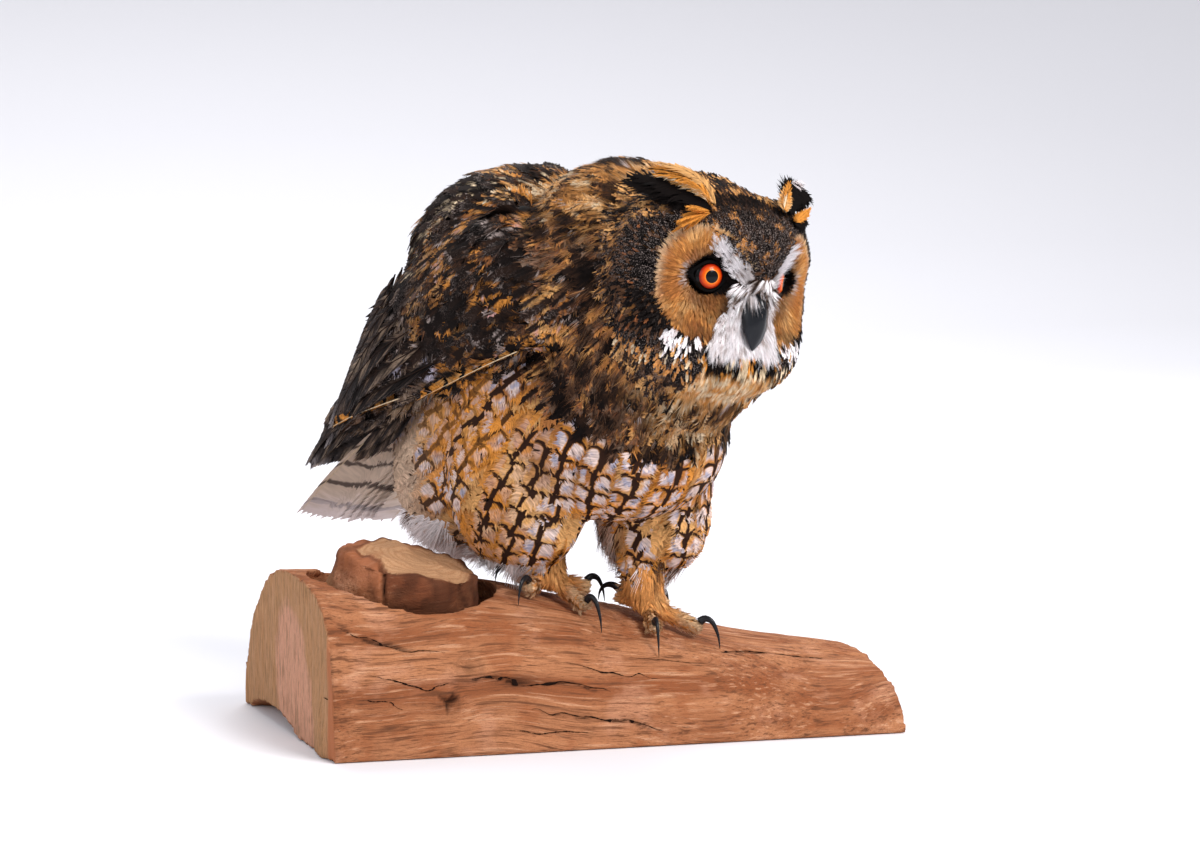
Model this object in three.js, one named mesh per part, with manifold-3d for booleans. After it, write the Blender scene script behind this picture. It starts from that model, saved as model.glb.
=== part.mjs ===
// A long-eared owl as a museum mounts it: crouched forward on a log, head turned a little to its right.
// Millimetres, +Z up. The origin is the centre of the log's flat underside, and the log lies along X.
// The bird has a frame of its own: +X forward, +Y to its left, with its zero on the log between the feet.

import * as THREE from "three";
import { mergeVertices } from "three/addons/utils/BufferGeometryUtils.js";
import Module from "manifold-3d";

const wasm = await Module();
wasm.setup();

// Driving dimensions
const gap = 0.3; // clearance between pieces that touch
const blend = 16; // how softly neighbouring masses of the body run together

const logLength = 298.5;
const logDepth = 160;
const logRidge = 85; // height of the ridge at the thick end
const logSkew = 8; // degrees that the thick end's cut is off square
const logShift = 11; // carries the footprint's centre to the origin
const perch = new THREE.Vector3(13.6, -24.4, 60); // the bird's zero on the log

const bodyYaw = -58.9; // degrees about Z from the log to the bird's forward direction
const headPlace = new THREE.Vector3(72, 2, 183);
const headTurn = { yaw: -11, pitch: 8, roll: 7 }; // degrees

const eyeRadius = 8.6;
const eyeAcross = 21.5; // from the middle of the face
const billLength = 25;
const tarsusWidth = 17;
const toeWidth = 8;
const clawLength = 16;
const wingThickness = 9;
const featherThickness = 2.2;
const tailHalfWidth = 34;

const degrees = THREE.MathUtils.degToRad;
const lerp = THREE.MathUtils.lerp;
const vec = (x, y, z) => new THREE.Vector3(x, y, z);

// Soft masses: each is an ellipsoid, and a body is their smooth union

function mass(centre, radii, { pitch = 0, yaw = 0, roll = 0 } = {}) {
  const turn = new THREE.Euler(degrees(roll), degrees(pitch), degrees(yaw), "ZYX");
  const inverse = new THREE.Matrix4()
    .compose(centre, new THREE.Quaternion().setFromEuler(turn), vec(1, 1, 1))
    .invert();
  const spot = vec();
  const scaled = vec();
  return (point) => {
    spot.copy(point).applyMatrix4(inverse);
    const near = scaled.copy(spot).divide(radii).length();
    const steep = scaled.divide(radii).length();
    return steep > 0 ? (near * (near - 1)) / steep : -radii.x;
  };
}

function smoothUnion(masses, softness = blend) {
  return (point) => {
    let total = 0;
    for (const field of masses) total += Math.exp(-field(point) / softness * 2);
    return (-Math.log(total) * softness) / 2;
  };
}

// Scoops hollows out of a field with a soft rim
function scooped(field, hollows, softness = 4) {
  return (point) => {
    let value = field(point);
    for (const hollow of hollows) {
      const inside = -hollow(point);
      const mix = Math.max(softness - Math.abs(value - inside), 0) / softness;
      value = Math.max(value, inside) + (mix * mix * softness) / 4;
    }
    return value;
  };
}

// A closed surface round a centre: a ball whose points are moved out to where the field is zero
function sculpt(centre, field, detail, grow = 0) {
  const ball = new THREE.IcosahedronGeometry(1, detail);
  ball.deleteAttribute("normal");
  ball.deleteAttribute("uv");
  const surface = mergeVertices(ball, 1e-4);
  const places = surface.attributes.position;
  const reach = 190;
  const stride = 2;
  const direction = vec();
  const probe = vec();
  const valueAt = (distance) => field(probe.copy(direction).multiplyScalar(distance).add(centre)) - grow;
  for (let i = 0; i < places.count; i += 1) {
    direction.fromBufferAttribute(places, i).normalize();
    let outer = reach;
    while (outer > stride && valueAt(outer - stride) > 0) outer -= stride;
    let inner = outer - stride;
    for (let k = 0; k < 12; k += 1) {
      const middle = (inner + outer) / 2;
      if (valueAt(middle) > 0) outer = middle;
      else inner = middle;
    }
    places.setXYZ(i, ...direction.multiplyScalar(outer).add(centre));
  }
  return surface;
}

// Lofts: rings of points joined in turn, with a fan over each end

function loft(rings) {
  const sides = rings[0].length;
  const positions = rings.flat().flatMap((point) => [point.x, point.y, point.z]);
  const faces = [];
  for (let r = 0; r < rings.length - 1; r += 1) {
    for (let s = 0; s < sides; s += 1) {
      const a = r * sides + s;
      const b = r * sides + ((s + 1) % sides);
      faces.push(a, b, a + sides, b, b + sides, a + sides);
    }
  }
  for (const end of [0, rings.length - 1]) {
    const centre = rings[end].reduce((sum, point) => sum.add(point), vec(0, 0, 0)).divideScalar(sides);
    const tip = positions.length / 3;
    positions.push(centre.x, centre.y, centre.z);
    for (let s = 0; s < sides; s += 1) {
      const a = end * sides + s;
      const b = end * sides + ((s + 1) % sides);
      faces.push(...(end === 0 ? [b, a, tip] : [a, b, tip]));
    }
  }
  const geometry = new THREE.BufferGeometry();
  geometry.setAttribute("position", new THREE.Float32BufferAttribute(positions, 3));
  geometry.setIndex(faces);
  return geometry;
}

// A tube of oval sections along a curve: size(t) gives the half width and the half height
function tube(points, size, { steps = 8, sides = 10, up = vec(0, 0, 1), grow = 0 } = {}) {
  const path = new THREE.CatmullRomCurve3(points);
  const rings = [];
  for (let i = 0; i <= steps; i += 1) {
    const t = i / steps;
    const ahead = path.getTangent(t);
    const side = vec().crossVectors(up, ahead).normalize();
    const over = vec().crossVectors(ahead, side);
    const [width, height] = size(t);
    const slide = ahead.multiplyScalar(grow * (2 * t - 1));
    const middle = path.getPoint(t).add(slide);
    const ring = [];
    for (let s = 0; s < sides; s += 1) {
      const angle = (2 * Math.PI * s) / sides;
      const across = side.clone().multiplyScalar(Math.cos(angle) * (width + grow));
      const upward = over.clone().multiplyScalar(Math.sin(angle) * (height + grow));
      ring.push(middle.clone().add(across).add(upward));
    }
    rings.push(ring);
  }
  return loft(rings);
}

// Solids for the joins and cuts

function solid(geometry) {
  const flat = geometry.index ? geometry : mergeVertices(geometry, 1e-4);
  const made = new wasm.Manifold(
    new wasm.Mesh({
      numProp: 3,
      vertProperties: Float32Array.from(flat.attributes.position.array),
      triVerts: Uint32Array.from(flat.index.array),
    }),
  );
  if (made.volume() < 0) throw new Error("a piece is inside out");
  return made;
}

// Only the largest body of a cut is kept
function largest(made) {
  return made.decompose().sort((a, b) => b.volume() - a.volume())[0];
}

function geometryOf(made) {
  const mesh = made.getMesh();
  const geometry = new THREE.BufferGeometry();
  geometry.setAttribute("position", new THREE.BufferAttribute(mesh.vertProperties, 3));
  geometry.setIndex(new THREE.BufferAttribute(mesh.triVerts, 1));
  const faceted = geometry.toNonIndexed();
  faceted.computeVertexNormals();
  return faceted;
}

const carve = (made, ...tools) => largest(tools.reduce((left, tool) => left.subtract(tool), made));

// Head, in a frame of its own: +X out of the face, +Y to the bird's left

const headFrame = new THREE.Matrix4().compose(
  headPlace,
  new THREE.Quaternion().setFromEuler(
    new THREE.Euler(degrees(headTurn.roll * -1), degrees(headTurn.pitch), degrees(headTurn.yaw), "ZYX"),
  ),
  vec(1, 1, 1),
);
const fromHead = (geometry) => geometry.applyMatrix4(headFrame);
const eyePlace = (side) => vec(25.5, side * eyeAcross, 0);

function headField() {
  const skull = mass(vec(-10, 0, 0), vec(48, 49, 47));
  const brow = mass(vec(19, 0, 18), vec(25, 27, 19), { pitch: 25 });
  const bridge = mass(vec(30, 0, -8), vec(20, 8, 26));
  const chin = mass(vec(20, 0, -42), vec(26, 30, 18));
  const jowls = [-1, 1].map((side) => mass(vec(14, side * 23, -34), vec(21, 24, 23)));
  const cheekAt = (side) => mass(vec(9, side * 25, -8), vec(19, 31, 44), { yaw: side * 30, pitch: -10 });
  const dishAt = (side) => mass(vec(45, side * 27, -3), vec(15, 24, 30), { yaw: side * 34 });
  const cheeks = [-1, 1].map(cheekAt);
  const dishes = [-1, 1].map(dishAt);
  return scooped(smoothUnion([skull, brow, bridge, chin, ...cheeks, ...jowls], 9), dishes, 6);
}

const headShape = (grow) => solid(fromHead(sculpt(vec(-2, 0, 0), headField(), 6, grow)));

function eyeShape(side, grow) {
  const ball = new THREE.SphereGeometry(eyeRadius + grow, 12, 8);
  ball.deleteAttribute("normal");
  ball.deleteAttribute("uv");
  return solid(fromHead(mergeVertices(ball, 1e-3).translate(...eyePlace(side))));
}

// The hooked upper half of the bill, narrowing to its point
function upperBillShape(grow) {
  const tip = vec(40, 0, -7 - billLength);
  const path = [vec(32, 0, -2), vec(42, 0, -7), vec(46, 0, -16), vec(44.5, 0, -25), tip];
  const size = (t) => [lerp(7.5, 0.6, t ** 1.4), lerp(8, 0.8, t ** 1.2)];
  return solid(fromHead(tube(path, size, { steps: 6, sides: 10, up: vec(0.7, 0, 0.7), grow })));
}

function lowerBillShape(grow) {
  const path = [vec(30, 0, -14), vec(37, 0, -18), vec(39.5, 0, -23), vec(39, 0, -27)];
  const size = (t) => [lerp(5.5, 1, t), lerp(4, 0.8, t)];
  return solid(fromHead(tube(path, size, { steps: 3, sides: 8, up: vec(0.7, 0, 0.7), grow })));
}

// A tuft of long feathers over each ear. The right one is laid back and the left one stands out sideways.
const tuftPaths = {
  right: [vec(28, -27, 31), vec(13, -34, 38), vec(-4, -42, 39), vec(-20, -47, 35)],
  left: [vec(24, 23, 33), vec(14, 30, 44), vec(15, 38, 48), vec(21, 43, 38)],
};

function earTuftShape(sideName, grow) {
  const up = sideName === "right" ? vec(0.2, -0.75, 0.6) : vec(0.7, 0.1, 0.7);
  const size = (t) => [lerp(3.5, 0.8, t) + 6 * Math.sin(Math.PI * t), lerp(3.4, 0.8, t)];
  return solid(fromHead(tube(tuftPaths[sideName], size, { steps: 6, sides: 8, up, grow })));
}

// Neck, trunk and thighs, in the bird's frame

const neckField = () =>
  smoothUnion([
    mass(vec(14, -1, 184), vec(52, 52, 53)),
    mass(vec(33, 0, 140), vec(50, 54, 48), { pitch: 30 }),
    mass(vec(52, 6, 136), vec(42, 44, 30)),
  ]);

const trunkField = () =>
  smoothUnion([
    mass(vec(-50, 0, 168), vec(62, 50, 62), { pitch: -38 }),
    mass(vec(-79, -22, 185), vec(43, 27, 32), { pitch: -44 }),
    mass(vec(-79, 22, 185), vec(43, 27, 32), { pitch: -44 }),
    mass(vec(-20, 0, 110), vec(72, 53, 58)),
    mass(vec(-96, 0, 100), vec(56, 36, 42), { pitch: -32 }),
    mass(vec(18, 4, 95), vec(48, 50, 42)),
    mass(vec(-86, 0, 62), vec(66, 42, 41), { pitch: -12 }),
  ]);

const neckShape = (grow) => solid(sculpt(vec(14, -2, 172), neckField(), 4, grow));
const trunkShape = (grow) => solid(sculpt(vec(-30, 0, 125), trunkField(), 5, grow));

const legs = {
  left: { foot: vec(11, 20, -3), knee: vec(1, 31, 78) },
  right: { foot: vec(-21, -20, 9.5), knee: vec(-34, -31, 78) },
};

function thighShape(sideName, grow) {
  const { foot, knee } = legs[sideName];
  const rear = sideName === "right" ? 14 : 6; // the right leg's feathers hang further back
  const low = vec(lerp(foot.x, knee.x, 0.4) - rear / 2, knee.y, 45 + foot.z / 2);
  const masses = [mass(knee, vec(39 + rear / 2, 27, 40)), mass(low, vec(28 + rear, 22, 27))];
  return solid(sculpt(vec(knee.x, knee.y, 62), smoothUnion(masses, 8), 3, grow));
}

function tarsusShape(sideName, grow) {
  const { foot } = legs[sideName];
  const half = tarsusWidth / 2;
  const path = [
    foot.clone().add(vec(-9, 1, 46)),
    foot.clone().add(vec(-5, 1, 30)),
    foot.clone().add(vec(-2, 0, 14)),
    foot.clone().add(vec(0, 0, 5)),
  ];
  const size = (t) => [half * lerp(1.6, 1, t), half * lerp(1.6, 1.05, t)];
  return solid(tube(path, size, { steps: 4, sides: 10, up: vec(1, 0, 0.1), grow }));
}

// Toes and claws. Each toe arches out from the foot and its claw curves down to the wood.
const toeNames = ["outer", "middle", "inner", "hind"];
const toeAngles = { left: [114, 31, -36, 200], right: [-72, -1, 80, 225] }; // degrees, in the same order
const toeLengths = [23, 28, 24, 17];

function toePath(sideName, index) {
  const { foot } = legs[sideName];
  const angle = degrees(toeAngles[sideName][index]);
  const ahead = vec(Math.cos(angle), Math.sin(angle), 0);
  const length = toeLengths[index];
  const reach = clawLength * 0.78;
  const at = (along, lift) => {
    const spot = foot.clone().addScaledVector(ahead, along);
    return spot.setZ(woodUnder(spot) + lift);
  };
  const clawRise = [5.5, 7.5, 5, -0.5].map((lift, k) => at(length - 2 + (reach * k) / 3, lift));
  const toe = [at(0, 6), at(length * 0.45, 6.5), at(length * 0.8, 5), at(length, 4.5)];
  return { ahead, toe, claw: clawRise };
}

// Height of the wood in the bird's frame
function woodUnder(point) {
  const spot = toRow(point);
  return logHeight(spot.x, spot.y) - perch.z;
}

const toeSize = (t) => [toeWidth / 2 + (t < 0.2 ? 1 : 0), lerp(5, 4, t)];
const clawSize = (t) => [lerp(2.3, 0.35, t), lerp(2.8, 0.35, t ** 1.5)];

function toeShape(sideName, index, grow) {
  return solid(tube(toePath(sideName, index).toe, toeSize, { steps: 4, sides: 8, grow }));
}

function clawShape(sideName, index, grow) {
  const { claw, ahead } = toePath(sideName, index);
  return solid(tube(claw, clawSize, { steps: 5, sides: 6, up: ahead.clone().add(vec(0, 0, 1.2)), grow }));
}

// Folded wings: a curved plate between a lower edge and an upper edge that run from the wrist to the tip

const wingEdges = {
  lower: [vec(46, 44, 150), vec(5, 57, 141), vec(-79, 51, 109), vec(-140, 40, 92), vec(-198, 23, 66)],
  upper: [vec(38, 32, 190), vec(-30, 34, 214), vec(-100, 14, 197), vec(-140, 4, 147), vec(-193, 4, 78)],
};

// A point on the wing plate: along 0 at the wrist to 1 at the tip, across 0 at the lower edge to 1 above
function wingPoint(side, along, across, bulge) {
  const low = new THREE.CatmullRomCurve3(wingEdges.lower).getPoint(along);
  const high = new THREE.CatmullRomCurve3(wingEdges.upper).getPoint(along);
  const point = low.lerp(high, across);
  const arch = Math.sin(Math.PI * across) ** 0.8 * bulge * Math.sin(Math.PI * lerp(0.12, 0.95, along));
  point.add(vec(-0.3 * arch, arch * 0.9, 0.3 * arch));
  point.y *= side;
  return point;
}

function wingShape(side, grow) {
  const steps = 9;
  const across = 5;
  const bulge = 24; // how far the plate swells out over the flank
  const rings = [];
  for (let i = 0; i <= steps; i += 1) {
    const along = i / steps;
    const half = (wingThickness / 2) * lerp(1, 0.28, along) + grow;
    const outer = [];
    const inner = [];
    for (let k = 0; k <= across; k += 1) {
      const share = k / across;
      const middle = wingPoint(side, along, share, bulge);
      const rim = half * Math.sqrt(Math.max(1 - (2 * share - 1) ** 4, 0.05));
      const outward = vec(-0.15, side, 0.25).normalize();
      outer.push(middle.clone().addScaledVector(outward, rim));
      inner.unshift(middle.clone().addScaledVector(outward, -rim));
    }
    const ring = [...outer, ...inner];
    rings.push(side > 0 ? ring : ring.reverse());
  }
  return solid(loft(rings.reverse()));
}

// The long flight feathers that reach past the wing
function primariesShape(side, grow) {
  const path = [
    vec(-70, side * 48, 116),
    vec(-130, side * 41, 102),
    vec(-175, side * 30, 82),
    vec(-214, side * 18, 56),
  ];
  const size = (t) => [lerp(13, 5, t ** 2), featherThickness * lerp(1.3, 0.6, t)];
  return solid(tube(path, size, { steps: 6, sides: 8, up: vec(-0.2, side * 0.8, 0.45), grow }));
}

// Tail: a slightly arched fan that slopes down behind
function tailShape(grow) {
  const root = vec(-84, 0, 96);
  const tip = vec(-208, 2, 26);
  const steps = 5;
  const across = 6;
  const rings = [];
  for (let i = 0; i <= steps; i += 1) {
    const t = i / steps;
    const middle = root.clone().lerp(tip, t);
    const halfWidth = lerp(22, tailHalfWidth, t) * (t > 0.9 ? 0.93 : 1) + grow;
    const half = featherThickness * lerp(2, 0.7, t) + grow;
    const top = [];
    const under = [];
    for (let k = 0; k <= across; k += 1) {
      const share = (2 * k) / across - 1;
      const arch = 5 * (1 - share * share);
      const longer = 10 * (1 - share * share) * t ** 4;
      const rim = half * Math.sqrt(Math.max(1 - share ** 4, 0.06));
      const lift = arch - 0.9 * longer - 6 * share * t;
      const spot = middle.clone().add(vec(-0.87 * longer, share * halfWidth, lift));
      top.push(spot.clone().add(vec(-0.4 * rim, 0, rim)));
      under.unshift(spot.clone().add(vec(0.4 * rim, 0, -rim)));
    }
    rings.push([...top, ...under]);
  }
  return solid(loft(rings));
}

// Log: rounded sections along its length, boxy at the thick end, with a sawn branch stub on top

const ridgeLine = new THREE.SplineCurve([
  new THREE.Vector2(0, logRidge),
  new THREE.Vector2(90, 78),
  new THREE.Vector2(160, 62),
  new THREE.Vector2(225, 45.5),
  new THREE.Vector2(logLength, 32.5),
]);

function ridgeHeight(along) {
  const share = THREE.MathUtils.clamp(along / logLength, 0, 1);
  let low = 0;
  let high = 1;
  for (let k = 0; k < 20; k += 1) {
    const middle = (low + high) / 2;
    if (ridgeLine.getPoint(middle).x < share * logLength) low = middle;
    else high = middle;
  }
  return ridgeLine.getPoint(low).y;
}

const frontFullness = (along) => lerp(3.4, 2, Math.min(along / 200, 1) ** 0.7);
const backFullness = (along) => lerp(1.9, 1.5, along / logLength);

// Height of the wood's top over a point of the ground
function logHeight(x, y) {
  const along = x + logLength / 2 - logShift;
  const middle = 1 - (y + logDepth / 2) / (logDepth / 2);
  const fullness = middle > 0 ? frontFullness(along) : backFullness(along);
  const share = Math.min(Math.abs(middle), 1);
  return ridgeHeight(along) * (1 - share ** fullness) ** (1 / fullness);
}

function logBlank() {
  const steps = 14;
  const sides = 14;
  const slant = Math.tan(degrees(logSkew));
  const rightSlant = Math.tan(degrees(logSkew / 2));
  const rings = [];
  for (let i = 0; i <= steps; i += 1) {
    const along = (logLength * i) / steps;
    const ring = [];
    for (let s = 0; s <= sides; s += 1) {
      const angle = (Math.PI * s) / sides;
      const fullness = angle < Math.PI / 2 ? frontFullness(along) : backFullness(along);
      const across = Math.sign(Math.cos(angle)) * Math.abs(Math.cos(angle)) ** (2 / fullness);
      const high = Math.sin(angle) ** (2 / fullness) * ridgeHeight(along);
      const y = -across * (logDepth / 2);
      const skewed = (y + logDepth / 2) * lerp(slant, rightSlant, i / steps);
      ring.push(vec(along - logLength / 2 + logShift - skewed, y, s === sides ? 0 : high));
    }
    for (let s = 1; s < 4; s += 1) ring.push(ring[sides].clone().lerp(ring[0], s / 4)); // underside
    rings.push(ring);
  }
  return solid(loft(rings.reverse()));
}

const stubPlace = vec(-87, -10, 85);
const stubLean = { pitch: 12, roll: 10 }; // degrees, to the right and to the front

function stubCylinder(widthX, widthY, depth, lift, forward = 0) {
  const plug = new THREE.CylinderGeometry(1, 1.3, depth, 18, 1);
  plug.rotateX(Math.PI / 2).scale(widthX, widthY, 1).translate(0, -forward, lift - depth / 2);
  plug.rotateX(degrees(stubLean.roll)).rotateY(degrees(stubLean.pitch));
  plug.translate(...stubPlace);
  plug.deleteAttribute("normal");
  plug.deleteAttribute("uv");
  return solid(mergeVertices(plug, 1e-3));
}

// The thick end is hollowed a little underneath, towards the back
function underScoop() {
  const hollow = new THREE.IcosahedronGeometry(1, 2);
  hollow.deleteAttribute("normal");
  hollow.deleteAttribute("uv");
  const shape = mergeVertices(hollow, 1e-4).scale(34, 44, 9);
  return solid(shape.translate(logShift - logLength / 2 - 22, 26, -1));
}

function logShape() {
  const moat = stubCylinder(43, 36, 30, 8, 5); // wider in front, where the log's shoulder sags
  const stub = stubCylinder(36, 29, 50, 4);
  return largest(logBlank().subtract(moat).add(stub).subtract(underScoop()));
}

// Assembly

const bird = new THREE.Group();
bird.position.copy(perch);
bird.rotation.z = degrees(bodyYaw);
bird.updateMatrix();
function toRow(point) {
  return point.clone().applyMatrix4(bird.matrix);
}

const part = new THREE.Group();
part.add(bird);

const finishes = {
  darkFeather: { color: 0x4a3626, roughness: 0.9 },
  mottledFeather: { color: 0x7a5836, roughness: 0.9 },
  tawnyFeather: { color: 0xb07c48, roughness: 0.92 },
  greyFeather: { color: 0x8a7a6a, roughness: 0.9 },
  legFeather: { color: 0xc98a44, roughness: 0.92 },
  toeSkin: { color: 0x8a7c72, roughness: 0.7 },
  horn: { color: 0x1c1c20, roughness: 0.3 },
  eyeGlass: { color: 0xd8541c, roughness: 0.05 },
  wood: { color: 0xb0704a, roughness: 0.75 },
};

function place(parent, name, made, finish) {
  const material = new THREE.MeshStandardMaterial({ metalness: 0, ...finishes[finish] });
  const mesh = new THREE.Mesh(geometryOf(made), material);
  mesh.name = name;
  parent.add(mesh);
}

const sides = ["left", "right"];
const sign = { left: 1, right: -1 };
const grownHead = headShape(gap);
const grownNeck = neckShape(gap);
const grownTrunk = trunkShape(gap);
const grownTrunkAndNeck = grownTrunk.add(grownNeck);
const grownBill = [upperBillShape(gap), lowerBillShape(gap)];
const grownEyes = sides.map((name) => eyeShape(sign[name], gap));

place(bird, "head", carve(headShape(0), ...grownEyes, ...grownBill), "mottledFeather");
place(bird, "upper_bill", upperBillShape(0), "horn");
place(bird, "lower_bill", carve(lowerBillShape(0), upperBillShape(gap)), "horn");
place(bird, "neck", carve(neckShape(0), grownHead, ...grownBill), "mottledFeather");
place(bird, "trunk", carve(trunkShape(0), grownHead, grownNeck), "mottledFeather");
for (const name of sides) {
  place(bird, `eye_${name}`, carve(eyeShape(sign[name], 0), upperBillShape(gap)), "eyeGlass");
  place(bird, `ear_tuft_${name}`, carve(earTuftShape(name, 0), grownHead, grownNeck), "darkFeather");
}

const grownTail = tailShape(gap);
place(bird, "tail", carve(tailShape(0), grownTrunkAndNeck), "greyFeather");

const grownTufts = sides.map((name) => earTuftShape(name, gap));
for (const name of sides) {
  const grownThigh = thighShape(name, gap);
  const grownTarsus = tarsusShape(name, gap);
  const otherThigh = thighShape(name === "left" ? "right" : "left", gap);
  const hind = toeNames.indexOf("hind");
  const thighCuts = [grownTrunkAndNeck, grownTail, toeShape(name, hind, gap), clawShape(name, hind, gap)];
  place(bird, `thigh_${name}`, carve(thighShape(name, 0), ...thighCuts), "tawnyFeather");
  const tarsus = carve(tarsusShape(name, 0), grownTrunkAndNeck, grownThigh, otherThigh);
  place(bird, `tarsus_${name}`, tarsus, "legFeather");
  const wing = wingShape(sign[name], 0);
  const wingCuts = [grownTrunkAndNeck, grownHead, grownThigh, grownTail, ...grownTufts];
  if (name === "right") wingCuts.push(wingShape(sign.left, gap));
  place(bird, `wing_${name}`, carve(wing, ...wingCuts), "darkFeather");
  const primaries = primariesShape(sign[name], 0);
  const primaryCuts = [grownTrunkAndNeck, wingShape(1, gap), wingShape(-1, gap), grownThigh, grownTail];
  primaryCuts.push(wingShape(sign[name], gap).translate(-2 * gap, 0, -2 * gap));
  if (name === "right") primaryCuts.push(primariesShape(sign.left, gap));
  place(bird, `primaries_${name}`, carve(primaries, ...primaryCuts), "darkFeather");
  const madeToes = [];
  for (const [index, toeName] of toeNames.entries()) {
    const toe = carve(toeShape(name, index, 0), grownTarsus, ...madeToes);
    place(bird, `toe_${name}_${toeName}`, toe, "toeSkin");
    madeToes.push(toeShape(name, index, gap));
  }
  for (const [index, toeName] of toeNames.entries()) {
    const claw = carve(clawShape(name, index, 0), grownTarsus, ...madeToes);
    place(bird, `claw_${name}_${toeName}`, claw, "horn");
  }
}

// The feet sit in the wood, which gives way to them
const inRow = (made) => made.transform(bird.matrix.elements);
const footTools = sides.flatMap((name) => [
  tarsusShape(name, gap),
  ...toeNames.map((_, index) => toeShape(name, index, gap)),
  ...toeNames.map((_, index) => clawShape(name, index, gap)),
]);
place(part, "log", carve(logShape(), ...footTools.map(inRow)), "wood");

export default part;
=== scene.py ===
import math
import bpy
import numpy as np
from mathutils import Matrix, Vector
from mathutils.bvhtree import BVHTree


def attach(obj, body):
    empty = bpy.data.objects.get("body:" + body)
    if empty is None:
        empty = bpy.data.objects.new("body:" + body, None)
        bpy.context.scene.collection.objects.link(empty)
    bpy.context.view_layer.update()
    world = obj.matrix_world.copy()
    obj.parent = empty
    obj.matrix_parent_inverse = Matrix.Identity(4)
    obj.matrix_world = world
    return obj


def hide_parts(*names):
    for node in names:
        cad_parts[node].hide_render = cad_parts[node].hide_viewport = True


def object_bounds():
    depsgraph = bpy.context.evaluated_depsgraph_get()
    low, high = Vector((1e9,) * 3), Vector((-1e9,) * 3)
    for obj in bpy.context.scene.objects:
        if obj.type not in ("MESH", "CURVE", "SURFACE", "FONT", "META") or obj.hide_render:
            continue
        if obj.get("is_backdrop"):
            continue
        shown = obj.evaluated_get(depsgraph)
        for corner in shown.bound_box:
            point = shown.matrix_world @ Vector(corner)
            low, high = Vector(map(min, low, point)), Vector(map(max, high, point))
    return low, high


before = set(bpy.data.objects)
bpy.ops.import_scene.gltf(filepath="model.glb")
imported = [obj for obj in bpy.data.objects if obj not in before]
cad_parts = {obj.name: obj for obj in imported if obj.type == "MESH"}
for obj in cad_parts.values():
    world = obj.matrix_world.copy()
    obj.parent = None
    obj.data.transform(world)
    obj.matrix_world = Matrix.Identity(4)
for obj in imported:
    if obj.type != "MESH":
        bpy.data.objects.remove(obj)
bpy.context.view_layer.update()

# the bird has its own axes in millimetres: X forward, Y to its left, Z up
perch = np.array([13.6, -24.4, 60.0])  # the bird's zero on the log, in the row frame
headPlace = np.array([72.0, 2.0, 183.0])  # the head's zero in the bird's axes
eyeSpot = np.array([25.5, 21.5, 0.0])  # in the head's axes, left eye
eyeSize = 8.6


def turned(yaw, pitch=0.0, roll=0.0):
    y, p, r = (math.radians(angle) for angle in (yaw, pitch, roll))
    aboutZ = np.array([[math.cos(y), -math.sin(y), 0], [math.sin(y), math.cos(y), 0], [0, 0, 1]])
    aboutY = np.array([[math.cos(p), 0, math.sin(p)], [0, 1, 0], [-math.sin(p), 0, math.cos(p)]])
    aboutX = np.array([[1, 0, 0], [0, math.cos(r), -math.sin(r)], [0, math.sin(r), math.cos(r)]])
    return aboutZ @ aboutY @ aboutX


birdAxes = turned(-58.9)
headAxes = turned(-11, 8, -7)


def toRow(points):  # bird millimetres to row metres
    return (np.asarray(points) @ birdAxes.T + perch) / 1000


def toBird(points):
    return (np.asarray(points) * 1000 - perch) @ birdAxes


def toHead(points):  # bird to head axes
    return (np.asarray(points) - headPlace) @ headAxes


def fromHead(points):
    return np.asarray(points) @ headAxes.T + headPlace


def unit(vectors):
    return vectors / np.maximum(np.linalg.norm(vectors, axis=-1, keepdims=True), 1e-9)


def ramp(values, low, high):  # smooth step from 0 at low to 1 at high
    share = np.clip((values - low) / (high - low), 0, 1)
    return share * share * (3 - 2 * share)


def bell(values, width=1.0):
    return np.exp(-((values / width) ** 2))


def mixed(share, first, second):
    share = np.asarray(share)[..., None]
    return first * (1 - share) + second * share


latticeTable = np.random.default_rng(7).random((16, 16, 16, 3))


def softNoise(points, size, shift=0.0):  # three smooth noises from 0 to 1 with blobs of that size
    spots = np.asarray(points) / size + shift + 100
    base = np.floor(spots).astype(int)
    part = spots - base
    part = part * part * (3 - 2 * part)
    total = 0
    for corner in range(8):
        bits = np.array([corner & 1, corner >> 1 & 1, corner >> 2 & 1])
        weight = np.prod(np.where(bits, part, 1 - part), axis=-1)
        cell = (base + bits) % 16
        total = total + weight[..., None] * latticeTable[cell[..., 0], cell[..., 1], cell[..., 2]]
    return total


def paint(red, green, blue):  # a colour as seen on a screen, 0 to 255, to the linear one
    screen = np.array([red, green, blue]) / 255
    return np.where(screen <= 0.04045, screen / 12.92, ((screen + 0.055) / 1.055) ** 2.4)


plumage = {
    "black": (14, 9, 8), "darkBrown": (38, 25, 19), "brown": (80, 54, 37), "greyBrown": (108, 88, 74),
    "rufous": (172, 108, 56), "orange": (203, 132, 56), "buff": (202, 158, 104), "greyBuff": (146, 124, 104),
    "cream": (222, 198, 164), "pale": (220, 208, 208), "white": (238, 232, 234), "tawny": (190, 128, 68),
    "sand": (208, 156, 98), "rust": (140, 84, 50), "greyPale": (166, 150, 144), "spot": (212, 190, 182),
    # lilac-grey: the wing's lilac spots, and painted sheen on the breast's pale spots
    "lilacSpotAndSheen": (166, 162, 178), "leg": (212, 146, 84), "beige": (190, 166, 146), "slate": (44, 36, 34),
    "tail": (204, 186, 168), "tailBar": (66, 54, 50), "shaft": (44, 26, 18),
}
plumage = {name: paint(*color) for name, color in plumage.items()}


class Field:  # a node's output that takes part in sums
    def __init__(self, finish, socket):
        self.finish, self.socket = finish, socket

    def __abs__(self):
        return self.finish.math("ABSOLUTE", self)


def fieldMethod(operation):
    return lambda self, other: self.finish.math(operation, self, other)


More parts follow.
